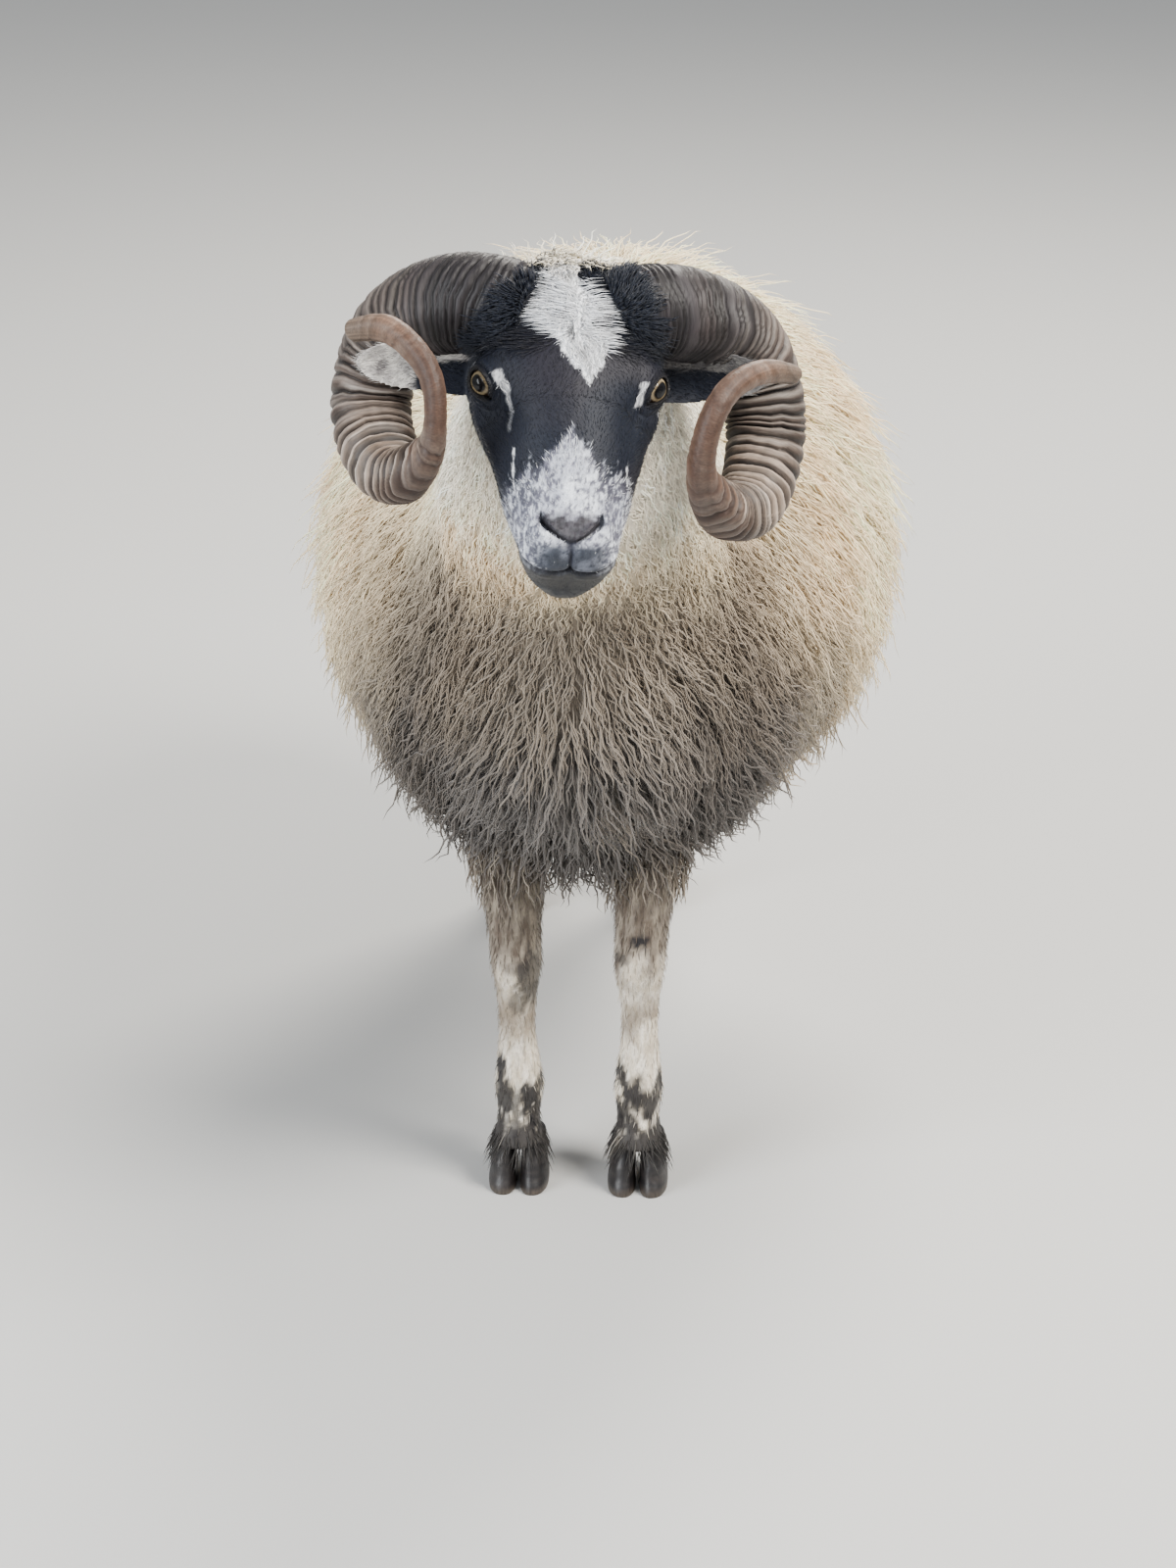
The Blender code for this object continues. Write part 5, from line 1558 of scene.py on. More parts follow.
def spaced(points, spacing):
    """Indices of points that keep about that distance from one another."""
    taken, kept = {}, []
    limit = (0.92 * spacing) ** 2
    around = [(i, j, k) for i in (-1, 0, 1) for j in (-1, 0, 1) for k in (-1, 0, 1)]
    cells = np.floor(points / spacing).astype(int).tolist()
    rows = points.tolist()
    for n in rng.permutation(len(points)).tolist():
        x, y, z = cells[n]
        px, py, pz = rows[n]
        if all(
            (px - qx) ** 2 + (py - qy) ** 2 + (pz - qz) ** 2 >= limit
            for i, j, k in around for qx, qy, qz in taken.get((x + i, y + j, z + k), ())
        ):
            taken.setdefault((x, y, z), []).append((px, py, pz))
            kept.append(n)
    return np.array(kept, int)


def tinted(color, index, lock=0.10, own=0.06):
    """Colours that differ a little from lock to lock and from strand to strand."""
    bright = 1 + rng.normal(0, lock, index.max() + 1)[index] + rng.normal(0, own, len(index))
    return np.clip(color * np.clip(bright, 0.6, 1.35)[:, None], 0, 0.97)


def make_fleece(coat, skin_tree):
    co, tris = coat["co"], coat["tris"]
    depth, near = coat["depth"][tris].mean(1), coat["near"][tris].mean(1)
    # Along torso, neck and tail.
    sizes = {
        "long": near @ np.array((1.90, 2.05, 4.2)),
        "lift": near @ np.array((0.90, 0.72, 0.50)),
        "droop": near @ np.array((-0.20, -0.14, -0.02)),
        "width": near @ np.array((0.0018, 0.0014, 0.0018)),
        "wave": near @ np.array((0.0023, 0.0017, 0.0012)),
        "turns": near @ np.array((2.1, 2.0, 2.0)),
    }
    face = unit(np.cross(co[tris[:, 1]] - co[tris[:, 0]], co[tris[:, 2]] - co[tris[:, 0]]))
    cover = sizes["long"] * depth * sizes["width"]
    weight = np.clip(0.000120 / cover, 0.8, 3.0) ** 0.7
    middle = co[tris].mean(1)
    # Longer wool on top of the neck meets the wool of the poll.
    crown = smooth(0.83, 0.88, middle[:, 2])
    sizes["long"] += 2.4 * crown
    sizes["lift"] += 0.12 * crown
    weight *= np.where(face[:, 2] < -0.75, 0.6, 1.0)
    weight *= 1 + 0.45 * smooth(-0.1, -0.6, face[:, 1]) * smooth(0.12, 0.0, middle[:, 1])
    points, normal, places, pick = scattered(co, tris, coat["uv"], weight, int(STRANDS * 1.09))
    points, normal, places, pick = only(
        uncovered(points, skin_tree), points, normal, places, pick
    )
    size = {key: value[pick] for key, value in sizes.items()}
    path, index = locks(points, normal, wool_lie(points, normal), depth[pick], size, GATHER)
    tip = tinted(fleece_color(points), index)
    width = size["width"] * rng.uniform(0.7, 1.3, len(points))
    order = np.argsort(points[:, 1], kind="stable")
    for n, chunk in enumerate(np.array_split(order, FLEECE_PIECES)):
        tuft_mesh(f"fleece_{n + 1}", path[chunk], normal[chunk], width[chunk], 0.7, WOOL_PROFILE,
                  tip[chunk], 0.82, places[chunk], WOOL_LOOK)


def head_roots(parts, skin_tree, spacing, zone):
    """Places on the open skin of the head, at least spacing apart, in a zone of F, U and L."""
    co, tris, uv = parts["head"]
    middle = moved(co[tris].mean(1), HEAD.inverted())
    chosen = zone(*head_axes(middle))
    points, normal, places = sampled(co, tris[chosen], uv, spacing)
    points, normal, places = only(
        uncovered(points, skin_tree, 0.0009), points, normal, places
    )
    return points, normal, places, moved(points, HEAD.inverted())


def woolly(f, u):
    """Where the head carries wool: poll, nape, cheeks behind the jaw, and throat."""
    behind = smooth(0.030, 0.010, f) * smooth(-0.030, -0.045, u)
    return np.maximum(np.maximum(behind, smooth(0.012, -0.004, f)),
                      smooth(-0.112, -0.120, u) * smooth(0.145, 0.115, f))


def along_head(directions):
    """Directions turned into the head frame."""
    return directions @ HEAD_TURNS


def horn_cuff(side, t, over):
    """How much of a horn's root the black hair covers, most on its under side."""
    top, middle, below = HORN_CUFF[side]
    reach = middle + np.where(over > 0, (top - middle) * over, (middle - below) * over)
    return smooth(0.008, -0.008, t - reach)


def walked_length(points):
    return lengths(np.diff(points, axis=0)).sum()


def horn_axes(points, arm):
    """Directions at each point of a horn's route: ahead, over and across."""
    ahead = unit(np.gradient(points, axis=0))
    over = flat_on(arm, ahead)
    return ahead, over, np.cross(over, ahead)


def horn_swell(x, t):
    """A horn is a little thicker on its upper side, most at the root."""
    return 1 + 0.10 * np.maximum(0, x) ** 2 * (1 - t)


def horn_walk(points):
    """The share of a horn's length at each point of its route."""
    walked = np.concatenate([[0], np.cumsum(lengths(np.diff(points, axis=0)))])
    return walked / walked[-1]


def cuff_roots(side):
    """Places, normals and lie on the root of a horn, for the hair that grows over it."""
    points, wide, thick, arm = horn_route(side, 400)
    s = horn_walk(points)
    ahead, over, across = horn_axes(points, arm)
    # Roots are spread evenly over the surface, its rounded end too.
    size = (wide + thick) / 2
    slope = np.gradient(size) / np.maximum(np.gradient(s) * walked_length(points), 1e-9)
    area = size * np.gradient(s) * np.hypot(1, slope) * (s < CUFF_END)
    row = rng.choice(len(s), CUFF_TRIES, p=area / area.sum())
    t, angle = s[row], 2 * math.pi * rng.random(CUFF_TRIES)
    reach = t + 0.010 + 0.006 * rng.normal(0, 1, CUFF_TRIES)
    covered = horn_cuff(side, reach, np.cos(angle)) > rng.random(CUFF_TRIES)
    row, t, angle = only(covered, row, t, angle)
    x, y = superellipse(angle, HORN_POWER)
    reach_over = (x * (wide[row] * horn_swell(x, t) + 0.0006))[:, None]
    reach_across = (y * (thick[row] + 0.0006))[:, None]
    place_at = points[row] + over[row] * reach_over + across[row] * reach_across
    away = unit(over[row] * (x / wide[row])[:, None] + across[row] * (y / thick[row])[:, None])
    rise = slope[row][:, None]
    return place_at, unit(away - ahead[row] * rise), unit(ahead[row] + away * rise)


def make_cuffs(parts, skin_tree):
    """Black hair that covers the roots of the horns."""
    sets = [cuff_roots(side) for side in (1, -1)]
    local, normal, lie = (np.concatenate(rows) for rows in zip(*sets))
    points = moved(local, HEAD)
    normal, lie = normal @ HEAD_TURNS.T, lie @ HEAD_TURNS.T
    inside = np.array([
        (hit := skin_tree.find_nearest(Vector(p)))[1].dot(Vector(p) - hit[0]) < 0 for p in points
    ], bool)
    points, normal, lie, local = only(~inside, points, normal, lie, local)
    count = len(points)
    lie = turned(lie, normal, 0.5 * noise(local, 0.015, 111) + rng.normal(0, 0.25, count))
    length = rng.uniform(0.009, 0.015, count)
    path = straight_path(points - normal * 0.0010, normal, lie, length,
                         rng.normal(0.42, 0.12, count), rng.normal(0.05, 0.10, count))
    tint = BLACK_WITH_PAINTED_SHEEN * np.clip(1.15 + rng.normal(0, 0.22, count), 0.5, 1.8)[:, None]
    _, places = unwrapped(points, parts["head"])
    tuft_mesh("horn_root_hairs", path, normal, rng.uniform(0.0013, 0.0019, count), 0.6,
              (1.0, 0.75), tint, 0.8, places, FACE_LOOK)


def make_head_coat(parts, skin_tree):
    """Short hairs over the face and ears."""
    points, normal, places, local = head_roots(
        parts, skin_tree, FACE_SPACING, lambda f, u, l: woolly(f, u) < 0.8
    )
    f, u, l = head_axes(local)
    bare = np.zeros(len(points), bool)
    for side in (1, -1):
        from_eye, reach = at_eye(local, side)
        bare |= (reach < 1.22) & (lengths(from_eye) < 0.024)
    w = nose_height(f, u)
    bare |= (w > 0.2075) & (w < nostril_edge(l) + 0.002) & (np.abs(l) < 0.0235) & (f > NOSE_FROM)
    bare |= (np.abs(u - lip_line(f, l)) < 0.0016) & (f > MOUTH_CORNER)
    points, normal, places, local, f, u, l = only(~bare, points, normal, places, local, f, u, l)
    along = ear_share(local)
    # Hair grows up from the nose, and down the face from the brow.
    up_share = smooth(0.120, 0.150, f)[:, None]
    aside = (0.45 * np.sign(l) * smooth(0.0, 0.03, np.abs(l)))[:, None]
    direction = FACE_DOWN * (1 - 2 * up_share) + FACE_OUT * aside
    on_ear = FACE_OUT * np.sign(l)[:, None] - 0.2 * FACE_DOWN
    direction = np.where((along > 0)[:, None], on_ear, direction)
    lie = flat_on(direction, normal)
    count = len(points)
    lie = turned(lie, normal, 0.5 * noise(local, 0.018, 81) + rng.normal(0, 0.25, count))
    frayed = local + rng.normal(0, 0.0011, (count, 3)) * (1 - np.abs(along_head(normal)))
    color = ear_color(frayed, face_color(frayed))
    mottled = muzzle_share(local)
    mottled = mottled * smooth(0.0, 0.1, mottled)
    lobe = lip_lobes(f, u, l)
    white = rng.random(count) < mottled * 0.9 * (1 - 0.85 * lobe)
    white &= (u > lip_line(f, l)) | (f < 0.205)
    color = np.where((white & (mottled > 0.25))[:, None], mixed(color, WHITE * 0.95, 0.75), color)
    climb = np.zeros(count)
    for side in (1, -1):
        route = horn_route(side, 200)[0][:60]
        gap = lengths(local[:, None] - route[None]).min(1) - HORN_ROOT_RADIUS
        near = smooth(0.013, 0.002, gap) * (along < 0)
        along_horn = HEAD_TURNS @ unit(route[40] - route[8]) + 0.25 * FACE_DOWN
        lie = flat_on(lie * (1 - near[:, None]) + along_horn * near[:, None], normal)
        climb = np.maximum(climb, near)
    length = 0.0042 + 0.0018 * rng.random(count) + 0.0040 * smooth(0.10, 0.03, f)
    length += 0.0120 * climb * rng.uniform(0.6, 1.0, count)
    length *= 1 + 0.5 * hill(f - 0.170, 0.018) * white - 0.38 * smooth(0.19, 0.215, f)
    path = straight_path(points - normal * 0.0006, normal, lie, length,
                         rng.normal(0.55, 0.14, count) + 0.25 * climb,
                         rng.normal(0.08, 0.10, count))
    tint = uneven(color, 0.18, 0.5, 1.5)
    width = rng.uniform(0.00050, 0.00085, count) * (1 + 0.6 * climb)
    tuft_mesh("face_hairs", path, normal, width, 0.6, (1.0, 0.7), tint, 0.85, places,
              FACE_LOOK)


def make_poll_wool(parts, skin_tree):
    """Curly wool over the poll, the nape, the cheeks' back edge and the throat."""
    points, normal, places, local = head_roots(
        parts, skin_tree, POLL_SPACING, lambda f, u, l: woolly(f, u) > 0.25
    )
    f, u, l = head_axes(local)
    count = len(points)
    poll = smooth(-0.075, -0.040, u)
    aside = (0.55 * np.clip(l / 0.02, -1, 1) + 0.6 * noise(local, 0.02, 101))[:, None]
    forward = smooth(-0.045, -0.020, f)[:, None] * 2 - 1
    direction = np.where(
        poll[:, None] > 0.5,
        FACE_DOWN * forward * 0.8 + FACE_OUT * aside,
        np.array((0, 0.5, -1.0)) + FACE_OUT * aside * 0.4,
    )
    rear = smooth(-0.012, -0.034, f)
    hanging = np.array((0, 0.80, -0.60)) + FACE_OUT * aside * 0.3
    lie = flat_on(direction * (1 - rear[:, None]) + hanging * rear[:, None], normal)
    length = 0.015 + 0.004 * poll + 0.006 * rng.random(count) + 0.014 * rear
    curl = noise(local, 0.010, 102)
    path = curved_path(
        points - normal * 0.002, normal, lie, length,
        0.62 - 0.26 * rear + rng.normal(0, 0.14, count),
        -0.25 * poll * (1 - rear) + rng.normal(0, 0.18, count), EVEN[6],
        0.0014 + 0.0016 * poll, 1.5 + 0.9 * poll, curl,
    )
    cloud = smooth(-0.5, 0.5, noise(local, 0.02, 103))
    color = mixed(srgb(238, 224, 192), srgb(246, 236, 214), cloud)
    color = mixed(color, THROAT * 0.95, 1 - poll)
    tint = uneven(color, 0.09, 0.6, 1.25)
    width = 0.0015 * rng.uniform(0.7, 1.3, count)
    tuft_mesh("poll_wool", path, normal, width, 0.7, CURL_PROFILE, tint, 0.66, places,
              WOOL_LOOK)


def make_blaze(parts, skin_tree):
    """Wavy white locks from the poll down over the forehead, with black hair beside them."""
    points, normal, places, local = head_roots(
        parts, skin_tree, BLAZE_SPACING,
        lambda f, u, l: (u > -0.045) & (f > -0.020) & (f < 0.135) & (np.abs(l) < 0.055),
    )
    f, _, l = head_axes(local)
    white, _ = face_white(local)
    keep = (white > 0.5) | ((f < 0.066) & (rng.random(len(f)) < 0.75))
    keep &= f < 0.124
    points, normal, places, local, white = only(keep, points, normal, places, local, white)
    f, _, l = head_axes(local)
    middle = 0.002 + 0.011 * smooth(0.05, 0.11, f)
    apart = 0.95 * smooth(0.030, 0.055, f) * smooth(0.082, 0.064, f)
    apart = (apart - 0.35 * smooth(0.075, 0.095, f)) * white
    aside = apart * np.clip((l - middle) / 0.020, -1.2, 1.2) + 0.45 * noise(local, 0.011, 91)
    lie = flat_on(FACE_DOWN + FACE_OUT * aside[:, None], normal)
    count = len(points)
    poll = smooth(0.035, -0.01, f)
    length = (0.0125 + 0.006 * rng.random(count) + 0.010 * poll) * (0.70 + 0.30 * white)
    # Locks whose tips would leave the white, or black ones that would cover it, are short.
    ahead = local + along_head(lie) * (0.80 * length)[:, None]
    length *= np.where(np.abs(face_white(ahead)[0] - white) > 0.5, 0.30, 1.0)
    path = curved_path(
        points - normal * 0.001, normal, lie, length,
        0.42 + 0.45 * poll + rng.normal(0, 0.12, count),
        rng.normal(0.02, 0.14, count) - 0.15 * poll, EVEN[5],
        0.0014 + 0.0012 * poll, 1.2 + 0.8 * poll, noise(local, 0.008, 92),
    )
    cream = mixed(WHITE * np.array((1, 0.99, 0.97)), srgb(244, 234, 212), smooth(0.030, -0.005, f))
    tint = mixed(face_color(local), cream, white)
    parting = noise(local * np.array((1, 0.30, 1)), 0.0055, 93, 2) + 0.16 * smooth(0.0, 0.016, l)
    parting = smooth(0.26, 0.50, parting) * smooth(0.115, 0.095, f)
    tint = mixed(tint, BLACK_WITH_PAINTED_SHEEN * 1.3, 0.80 * parting)
    bright = 0.98 + 0.16 * noise(local, 0.004, 94) + rng.normal(0, 0.12, count)
    tint *= np.clip(bright, 0.5, 1.2)[:, None]
    width = (0.0010 + 0.0008 * poll) * rng.uniform(0.8, 1.2, count)
    # The roots are half as bright as the tips: painted shade between the locks.
    tuft_mesh("blaze_curls", path, normal, width, 0.6, (0.8, 1.0, 1.0, 0.85, 0.6), tint, 0.50,
              places, FACE_LOOK)


def make_leg_coat(parts, skin_tree):
    """Short hairs on the legs, longer above, behind the cannons and over the hooves."""
    sets = []
    for name in parts:
        if name.startswith("leg_"):
            points, normal, places = sampled(*parts[name], LEG_SPACING)
            rim = sampled(*parts[name], RIM_SPACING)
            low = rim[0][:, 2] < RIM_TOP
            rows = zip((points, normal, places), rim)
            points, normal, places = (np.concatenate((a, b[low])) for a, b in rows)
            roots = only(normal[:, 2] > -0.9, points, normal, places)
            sets.append(only(uncovered(roots[0], skin_tree, 0.0008), *roots))
    points, normal, places = (np.concatenate(rows) for rows in zip(*sets))
    z = points[:, 2]
    hind = points[:, 1] > 0.3
    wool = z > np.where(hind, *LEG_WOOL_FROM) + 0.012 * noise(points, 0.02, 55)
    for name, chosen in (("leg_hairs", ~wool), ("leg_wool", wool)):
        p, n, at = only(chosen, points, normal, places)
        count = len(p)
        lie = flat_on(np.array((0.0, 0.10, -1.0)) + rng.normal(0, 0.17, (count, 3)), n)
        behind = smooth(0.3, 0.8, n[:, 1])
        if name == "leg_hairs":
            over_hoof = smooth(0.066, 0.050, p[:, 2]) * rng.uniform(0.4, 1.0, count)
            length = 0.0085 + 0.004 * rng.random(count) + 0.004 * behind + 0.022 * over_hoof
            length += 0.006 * smooth(0.22, 0.30, p[:, 2])
            tint = leg_color(p)
            lift, t, profile = 0.42 - 0.18 * over_hoof, EVEN[3], (1.0, 0.95, 0.7)
            width = np.full(count, 0.0011) * (1 + 0.3 * over_hoof)
        else:
            length = 0.030 + 0.012 * rng.random(count)
            tint = mixed(leg_color(p) * 1.1, fleece_color(p), 0.5 * smooth(0.32, 0.38, p[:, 2]))
            lift, t, profile = 0.60, OPEN, WOOL_PROFILE
            width = np.full(count, 0.0020)
        tint = uneven(tint, 0.13, 0.6, 1.4)
        wave = np.full(count, 0.0014 if name == "leg_wool" else 0.0003)
        path = curved_path(
            p - n * 0.001, n, lie, length, lift + rng.normal(0, 0.12, count),
            rng.normal(0.03, 0.08, count), t, wave, np.full(count, 1.8), noise(p, 0.012, 56),
        )
        tuft_mesh(name, path, n, width, 0.6, profile, tint, 0.8, at,
                  ("wool" if name == "leg_wool" else "hair", "leg_hair"))


# Horns

# A horn's tip: the power of its rounding, and its length against the half width.
TIP_POWER = 2.6
TIP_CAP = 0.8
ROOT_DOME = 0.020


def horn_route(side, rings):
    """Points along a horn, its half width and thickness there, and the arm from its hub."""
    view = FACE_SLOPE + HORN_LEAN
    back = np.array(head_local(-math.cos(view), -math.sin(view), 0))
    up = np.array(head_local(-math.sin(view), math.cos(view), 0))
    out = np.array(head_local(0, 0, side))
    hub = np.array(head_local(*HORN_HUB, 0)) + back * HORN_BACK - up * HORN_DOWN
    stations = HORN_STATIONS[side]
    turn = np.linspace(stations[0][0], stations[-1][0], rings)
    away, reach, lower, wide, thick = spline(stations, turn).T
    angle = np.radians(turn)[:, None]
    arm = up * np.cos(angle) + back * np.sin(angle)
    points = hub + arm * reach[:, None] + out * away[:, None] - up * lower[:, None]
    # The root end is rounded off.
    start = np.clip(lengths(points - points[0]) / ROOT_DOME, 0.004, 1)
    dome = np.sqrt(1 - (1 - start) ** 2)
    return points, wide * dome, thick * dome, arm


def make_horn(name, side, rings=600, segments=48):
    """A coiled horn: uneven rings, the dark lines between them, and a smooth outer part."""
    points, wide, thick, arm = horn_route(side, rings)
    ahead, over, across = horn_axes(points, arm)
    s = horn_walk(points)
    walked = s * walked_length(points)
    angle = round_angles(segments)
    x, y = superellipse(angle, HORN_POWER)
    # Places on the horn unrolled: along it, and round it where the seam doesn't show.
    along = np.broadcast_to(walked[:, None], (rings, segments)).ravel()
    circle = np.stack(np.broadcast_arrays(np.cos(angle)[None], np.sin(angle)[None]), -1)
    circle = np.broadcast_to(circle, (rings, segments, 2)).reshape(-1, 2)
    seed = 100 if side > 0 else 130

    def unrolled(length, around, key, octaves=1):
        """Noise on the unrolled horn, at a length along it and a radius round it."""
        return noise(np.stack([length, *(circle.T * around)], -1), 1.0, seed + key, octaves)

    lined = along + 0.0045 * circle[:, 0] + 0.0040 * unrolled(along * 22, 1.0, 0)
    lined = lined + 0.0010 * unrolled(lined * 60, 4.0, 7)
    apart = 0.0060 + 0.0060 * smooth(0.10, 0.50, s[1:])
    beats = np.concatenate([[0], np.cumsum(np.diff(walked) / apart)])
    beat = np.interp(lined, walked, beats)
    beat = beat + 0.42 * unrolled(beat * 0.7, 0.12, 1)
    saw = beat - np.floor(beat)
    ring = np.floor(beat + 0.5) * 3.7
    strong = 0.66 + 0.66 * unrolled(ring, 0.55, 2)
    strong = np.clip(strong, 0.22, 1)
    groove = hill(np.minimum(saw, 1 - saw), 0.08 + 0.13 * strong)
    rough = unrolled(lined * 260, 2.2, 4, 3)
    grain = unrolled(lined * 14, 16.0, 8, 2)
    t = np.repeat(s, segments)
    root = horn_cuff(side, t + 0.006 * unrolled(lined * 60, 3.0, 10), circle[:, 0])
    fade = (0.16 + 0.84 * smooth(0.78, 0.66, t)) * (1 - root)
    relief = fade * (0.0013 * np.sin(math.pi * saw) ** 0.7 - 0.0026 * groove * strong)
    fine = 0.00025 * rough * (0.5 + 0.5 * fade) + (0.00045 - 0.00025 * fade) * grain
    relief += fine * (1 - root)
    # A keel runs along the outer part, on the side turned to the coil's middle.
    outer = smooth(0.56, 0.70, t)
    keel = outer * hill(circle[:, 0] + 0.92, 0.16)
    relief += 0.0016 * keel - 0.0012 * outer * hill(circle[:, 0] + 0.62, 0.14)
    relief = relief.reshape(rings, segments) * np.minimum(1, wide / 0.02)[:, None]
    swell = horn_swell(x[None, :], s[:, None])
    grid = (
        points[:, None]
        + over[:, None] * (x[None, :] * (wide[:, None] * swell + relief))[..., None]
        + across[:, None] * (y[None, :] * (thick[:, None] + relief))[..., None]
    )
    cap = np.sin(np.linspace(0, 1, 10)[1:-1] * math.pi / 2)
    tip = [
        points[-1] + (grid[-1] - points[-1]) * (1 - c**TIP_POWER) ** (1 / TIP_POWER)
        + ahead[-1] * wide[-1] * TIP_CAP * c for c in cap
    ]
    grid = np.concatenate([grid, np.array(tip)])
    obj = loft(name, grid, None, points[-1] + ahead[-1] * wide[-1] * TIP_CAP)
    # Colour: charcoal at the root, then taupe and pale rings, and brown on the smooth end.
    tone = t + 0.05 * unrolled(lined * 30, 0.8, 9)
    color = mixed(srgb(38, 35, 37), srgb(76, 65, 59), smooth(0.12, 0.36, tone))
    color = mixed(color, srgb(138, 122, 109), smooth(0.38, 0.56, tone))
    color = mixed(color, srgb(102, 79, 65), smooth(0.66, 0.76, tone))
    color = mixed(color, srgb(92, 80, 70), smooth(0.92, 1.0, t) * 0.85)
    whole = unrolled(ring * 1.3, 0.25, 11)
    color = color * (1 + 0.42 * whole * fade)[:, None]
    band = unrolled(lined * 130, 0.45, 5, 3)
    color = color * (1 + 0.30 * band * (0.4 + 0.6 * fade))[:, None]
    # Pale streaks across the ringed part: painted highlights.
    light = smooth(0.1, 0.8, band) * smooth(0.16, 0.45, t) * fade
    color = mixed(color, srgb(200, 188, 176), 0.62 * light)
    hairline = smooth(0.30, 0.55, unrolled(lined * 330, 0.40, 12, 2)) * smooth(0.12, 0.34, t) * fade
    color = mixed(color, srgb(48, 38, 35), 0.66 * hairline)
    stain = smooth(0.0, 0.9, unrolled(lined * 30, 1.2, 6, 2))
    color = mixed(color, color * np.array((0.70, 0.62, 0.56)), 0.7 * stain)
    color = color * (1 + (0.34 - 0.16 * fade) * grain)[:, None]
    # Each ring is painted darker towards the groove after it: painted shade below its ridge.
    color = color * (1 - 0.58 * smooth(0.35, 0.92, saw) * fade)[:, None]
    # Painted highlight on the crest of each ring.
    crest = hill(saw - 0.24, 0.15) * (0.4 + 0.6 * strong) * fade
    color = mixed(color, srgb(196, 184, 172), 0.30 * crest * smooth(0.10, 0.34, t))
    # Dark lines in the grooves between rings: partly the horn's own dark lines, partly painted
    # shade in the grooves.
    dark = np.clip(groove * (0.35 + 0.65 * strong) * (0.12 + 0.88 * fade), 0, 1)
    color = mixed(color, srgb(24, 20, 20), 0.97 * dark)
    # Painted shade on the under, outer side of the coil's smooth part.
    under = smooth(-0.1, 0.8, circle[:, 0]) * smooth(0.52, 0.64, t) * smooth(0.97, 0.84, t)
    color = mixed(color, srgb(52, 38, 33), 0.74 * under)
    color = mixed(color, srgb(24, 25, 31), root)
    # Painted shade in the groove beside the keel.
    painted_groove_shade = outer * hill(circle[:, 0] + 0.60, 0.16)
    color = mixed(color, srgb(46, 36, 30), 0.75 * painted_groove_shade)

    def with_tip(values):
        tips = np.repeat(values[-segments:][None], len(cap), 0).reshape(-1, values.shape[1])
        return np.concatenate([values, tips, values[:1], values[-1:]])

    paint(obj, "Col", with_tip(color))
    paint(obj, "Flow", with_tip(np.stack([circle[:, 0] * 0.03, along, circle[:, 1] * 0.03], -1)))
    obj.data.transform(HEAD)
    place(obj, ("horn", "horn"))
    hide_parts(f"horn_{name.split('_')[-1]}")


# Eyes and hooves

# The slit pupil: half length, half height and power of its outline.
PUPIL = (0.0066, 0.0047)
PUPIL_POWER = 2.4


def make_eye(name, side, rings=72, segments=96):
    """An eyeball with a raised cornea, an amber iris and a wide dark pupil."""
    polar = np.linspace(0, 1, rings + 1)[1:-1] ** 1.15 * math.pi
    angle = round_angles(segments)
    out = EYE_RADIUS * (1 + 0.055 * smooth(0.80, 0.35, polar))
    grid = np.stack([
        (out * np.sin(polar))[:, None] * np.cos(angle),
        (out * np.sin(polar))[:, None] * np.sin(angle),
        np.broadcast_to((out * np.cos(polar))[:, None], (len(polar), segments)),
    ], -1)
    obj = loft(name, grid, (0, 0, out[0]), (0, 0, -EYE_RADIUS))
    co = positions(obj)
    x, y = co[:, 0], co[:, 1]
    reach = np.hypot(x, y)
    facing = co[:, 2] > 0
    direction = np.stack([x / np.maximum(reach, 1e-6), y / np.maximum(reach, 1e-6), reach * 60], -1)
    fibre = noise(direction * np.array((9, 9, 1)), 1.0, 141, 3)
    color = mixed(srgb(142, 126, 98), srgb(98, 82, 60), smooth(-0.5, 0.7, fibre))
    color = mixed(color, srgb(160, 146, 118), smooth(0.0060, 0.0082, reach) * 0.4)
    color = mixed(color, srgb(40, 30, 24), smooth(0.0086, 0.0096, reach + 0.0003 * fibre))
    color = mixed(color, srgb(52, 42, 38), smooth(0.0100, 0.0110, reach))
    across, up = np.abs(x) / PUPIL[0], np.abs(y) / PUPIL[1]
    pupil = (across**PUPIL_POWER + up**PUPIL_POWER) ** (1 / PUPIL_POWER)
    color = mixed(color, srgb(8, 8, 12), smooth(1.22, 0.98, pupil + 0.03 * fibre) * facing)
    paint(obj, "Col", color)
    obj.data.transform(HEAD @ eye_frame(side))
    place(obj, ("eye", "eye"))
    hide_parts(f"eye_{name.split('_')[-1]}")


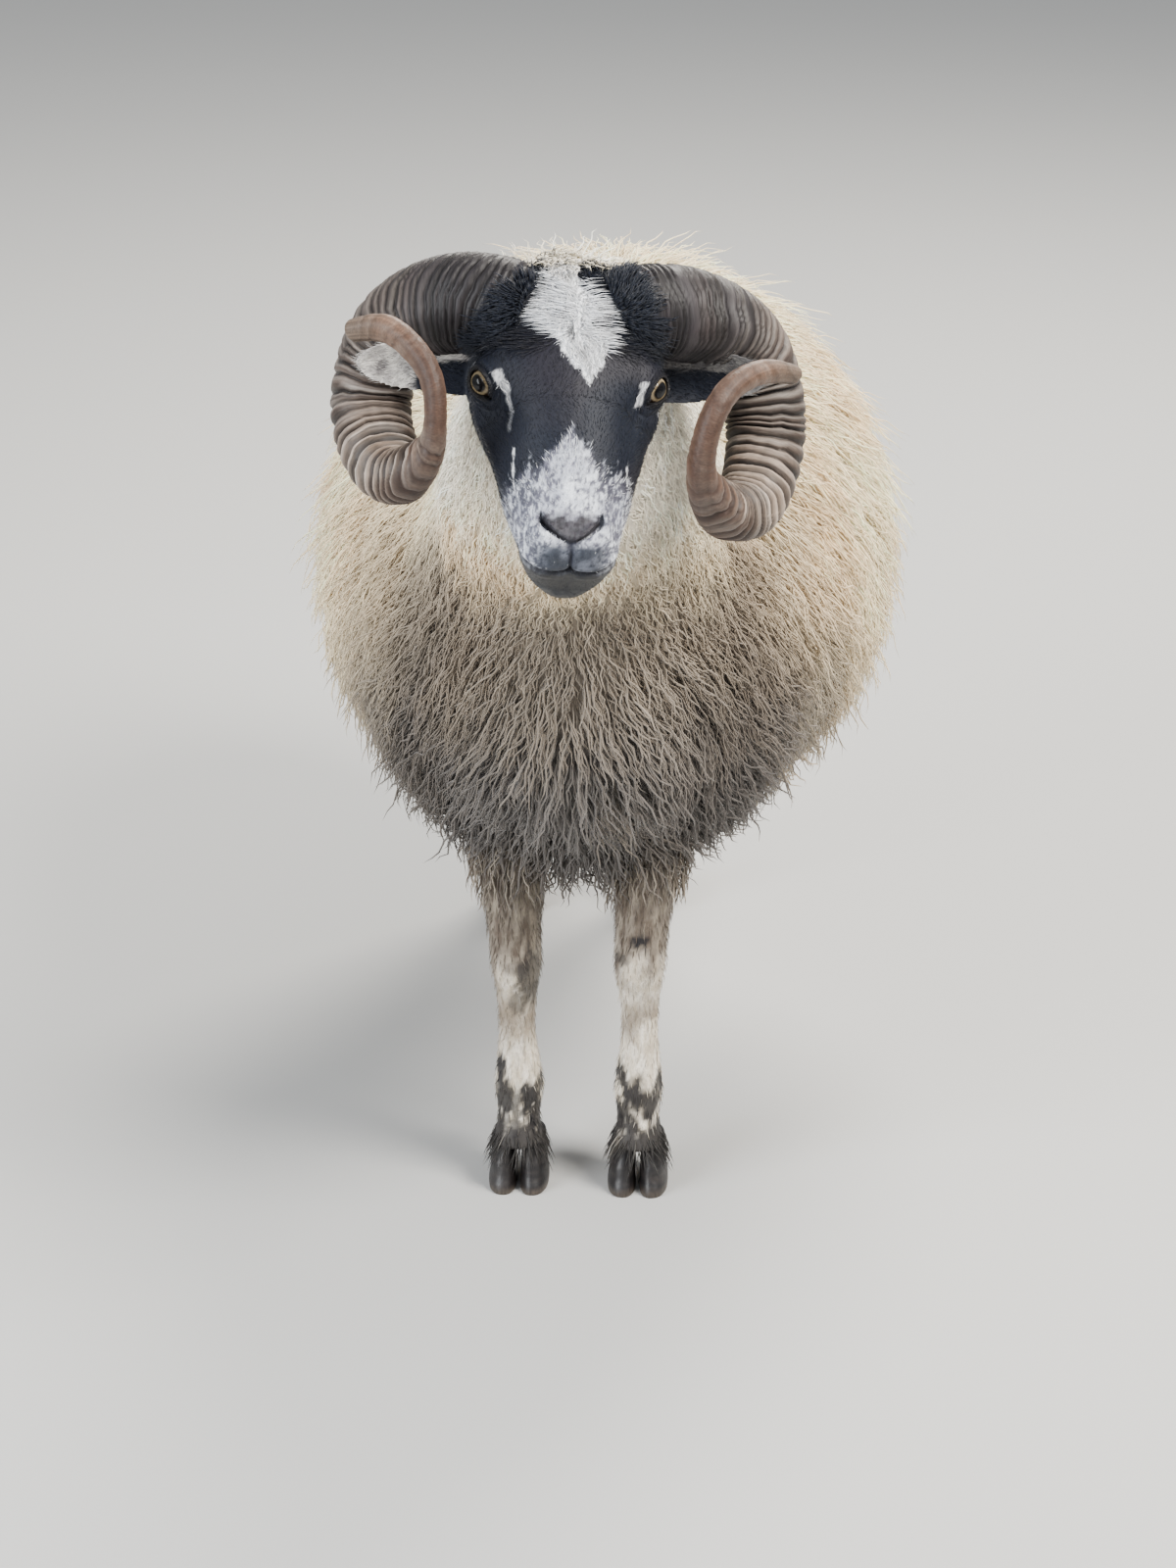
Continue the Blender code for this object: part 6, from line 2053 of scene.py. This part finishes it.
def make_hoof(end, name, inner_name, half, foot_x, foot_y):
    """One claw: a flat sole with a rounded edge, a sloping toe and growth rings."""
    z = np.concatenate([[0.0, 0.0002, 0.0009, 0.0022, 0.004], np.linspace(0.006, HOOF_TOP, 34)])
    share = np.interp(z, [0, 0.0009, 0.004, HOOF_TOP], [0.955, 0.985, 1.0, 0.82])
    wave = 0.0004 * np.sin(z / 0.0032) * smooth(0.004, 0.010, z)
    wave = wave * smooth(HOOF_TOP, HOOF_TOP - 0.006, z)
    angle = round_angles(56)
    x, y = superellipse(angle, HOOF_POWER)
    back = HOOF_SLOPE * z / HOOF_TOP
    inner = HOOF_CLEFT / 2 + 0.0012 * (1 - share) / 0.2
    across = inner[:, None] + (x + 1) / 2 * (HOOF_WIDTH * share + wave)[:, None]
    toe = np.where(y < 0, 0.004 * (1 - (x + 1) / 2), 0.0)
    grid = np.stack([
        foot_x + half * across,
        foot_y + 0.004 + back[:, None] * 0.55 + y * (HOOF_LENGTH * share / 2 + wave)[:, None] - toe,
        np.broadcast_to(z[:, None], across.shape),
    ], -1)
    obj = loft(f"claw_{end}_{name}_{inner_name}", grid)
    co = positions(obj)
    ring = noise(co * np.array((0.15, 0.15, 1)), 0.0022, 151, 2)
    color = mixed(srgb(24, 22, 23), srgb(40, 36, 35), smooth(-0.4, 0.8, ring))
    color = mixed(color, srgb(84, 74, 64), 0.50 * smooth(0.009, 0.0, co[:, 2]))
    paint(obj, "Col", color)
    paint(obj, "Flow", co)
    place(obj, ("hoof", "hoof"))
    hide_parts(f"hoof_{end}_{name}_{inner_name}")


# Stage

CAMERA_ASIDE = math.radians(3.0)
CAMERA_DOWN = math.radians(21.1)
CAMERA_AWAY = 3.33
CAMERA_RIGHT = 0.0088
CAMERA_UP = 1.67
# Focal length and sensor width in millimetres.
CAMERA_LENS = (94.5, 36)
# Place, target, size, power and colour of each lamp.
LIGHTS = {
    "key": ((2.1, -1.5, 3.1), (0, 0, 0.5), 1.6, 300, (1.0, 0.96, 0.90)),
    "fill": ((-2.6, -2.4, 1.9), (0, 0, 0.5), 2.6, 225, (0.95, 0.975, 1.0)),
    "back": ((0.7, 2.6, 3.2), (0, 0.2, 0.6), 1.6, 250, (1.0, 0.95, 0.87)),
}
FLOOR_HALF = 30
FLOOR_COLOR = (0.46, 0.46, 0.45, 1)
SKY_COLOR = (0.86, 0.89, 0.93, 1)
SKY_STRENGTH = 0.68


def camera():
    """The photograph's view: from above eye height, a little to the animal's right."""
    aside, down = CAMERA_ASIDE, CAMERA_DOWN
    ahead = Vector((-math.sin(aside), math.cos(aside), 0))
    right = Vector((math.cos(aside), math.sin(aside), 0))
    place_at = -CAMERA_AWAY * ahead + CAMERA_RIGHT * right + Vector((0, 0, CAMERA_UP)) + SHIFT
    forward = ahead * math.cos(down) + Vector((0, 0, -1)) * math.sin(down)
    up = right.cross(forward)
    matrix = Matrix((right, up, -forward)).transposed().to_4x4()
    matrix.translation = place_at
    data = bpy.data.cameras.new("camera")
    data.lens, data.sensor_width = CAMERA_LENS
    obj = in_scene("camera", data)
    obj.matrix_world = matrix
    bpy.context.scene.camera = obj


def light(name, place_at, target, size, power, color):
    data = bpy.data.lights.new(name, "AREA")
    data.shape = "DISK"
    data.size = size
    data.energy = power
    data.color = color
    obj = in_scene(name, data)
    obj.location = place_at
    obj.rotation_euler = (Vector(target) - Vector(place_at)).to_track_quat("-Z", "Y").to_euler()


def stage():
    corners = np.array(((-1, -1, 0), (1, -1, 0), (1, 1, 0), (-1, 1, 0)), float) * FLOOR_HALF
    floor = raw_mesh("floor", corners, np.array([[0, 1, 2, 3]]))
    made, *_ = node_shader("pale_floor", 0.85, Base_Color=FLOOR_COLOR)
    floor.data.materials.append(made)
    for name, row in LIGHTS.items():
        light(name, *row)
    world = bpy.data.worlds.new("studio")
    world.use_nodes = True
    with_inputs(world.node_tree.nodes["Background"], Color=SKY_COLOR, Strength=SKY_STRENGTH)
    bpy.context.scene.world = world


def main():
    parts, coat, skin_tree = make_skin()
    make_fleece(coat, skin_tree)
    make_head_coat(parts, skin_tree)
    make_poll_wool(parts, skin_tree)
    make_cuffs(parts, skin_tree)
    make_blaze(parts, skin_tree)
    make_leg_coat(parts, skin_tree)
    for name, side in SIDES.items():
        make_horn(f"coiled_horn_{name}", side)
        make_eye(f"eyeball_{name}", side)
    for end_name, side, _, x, y in leg_places():
        end, name = end_name.split("_")
        for inner_name, half in (("outer", side), ("inner", -side)):
            make_hoof(end, name, inner_name, half, x, y)
    camera()
    stage()


main()
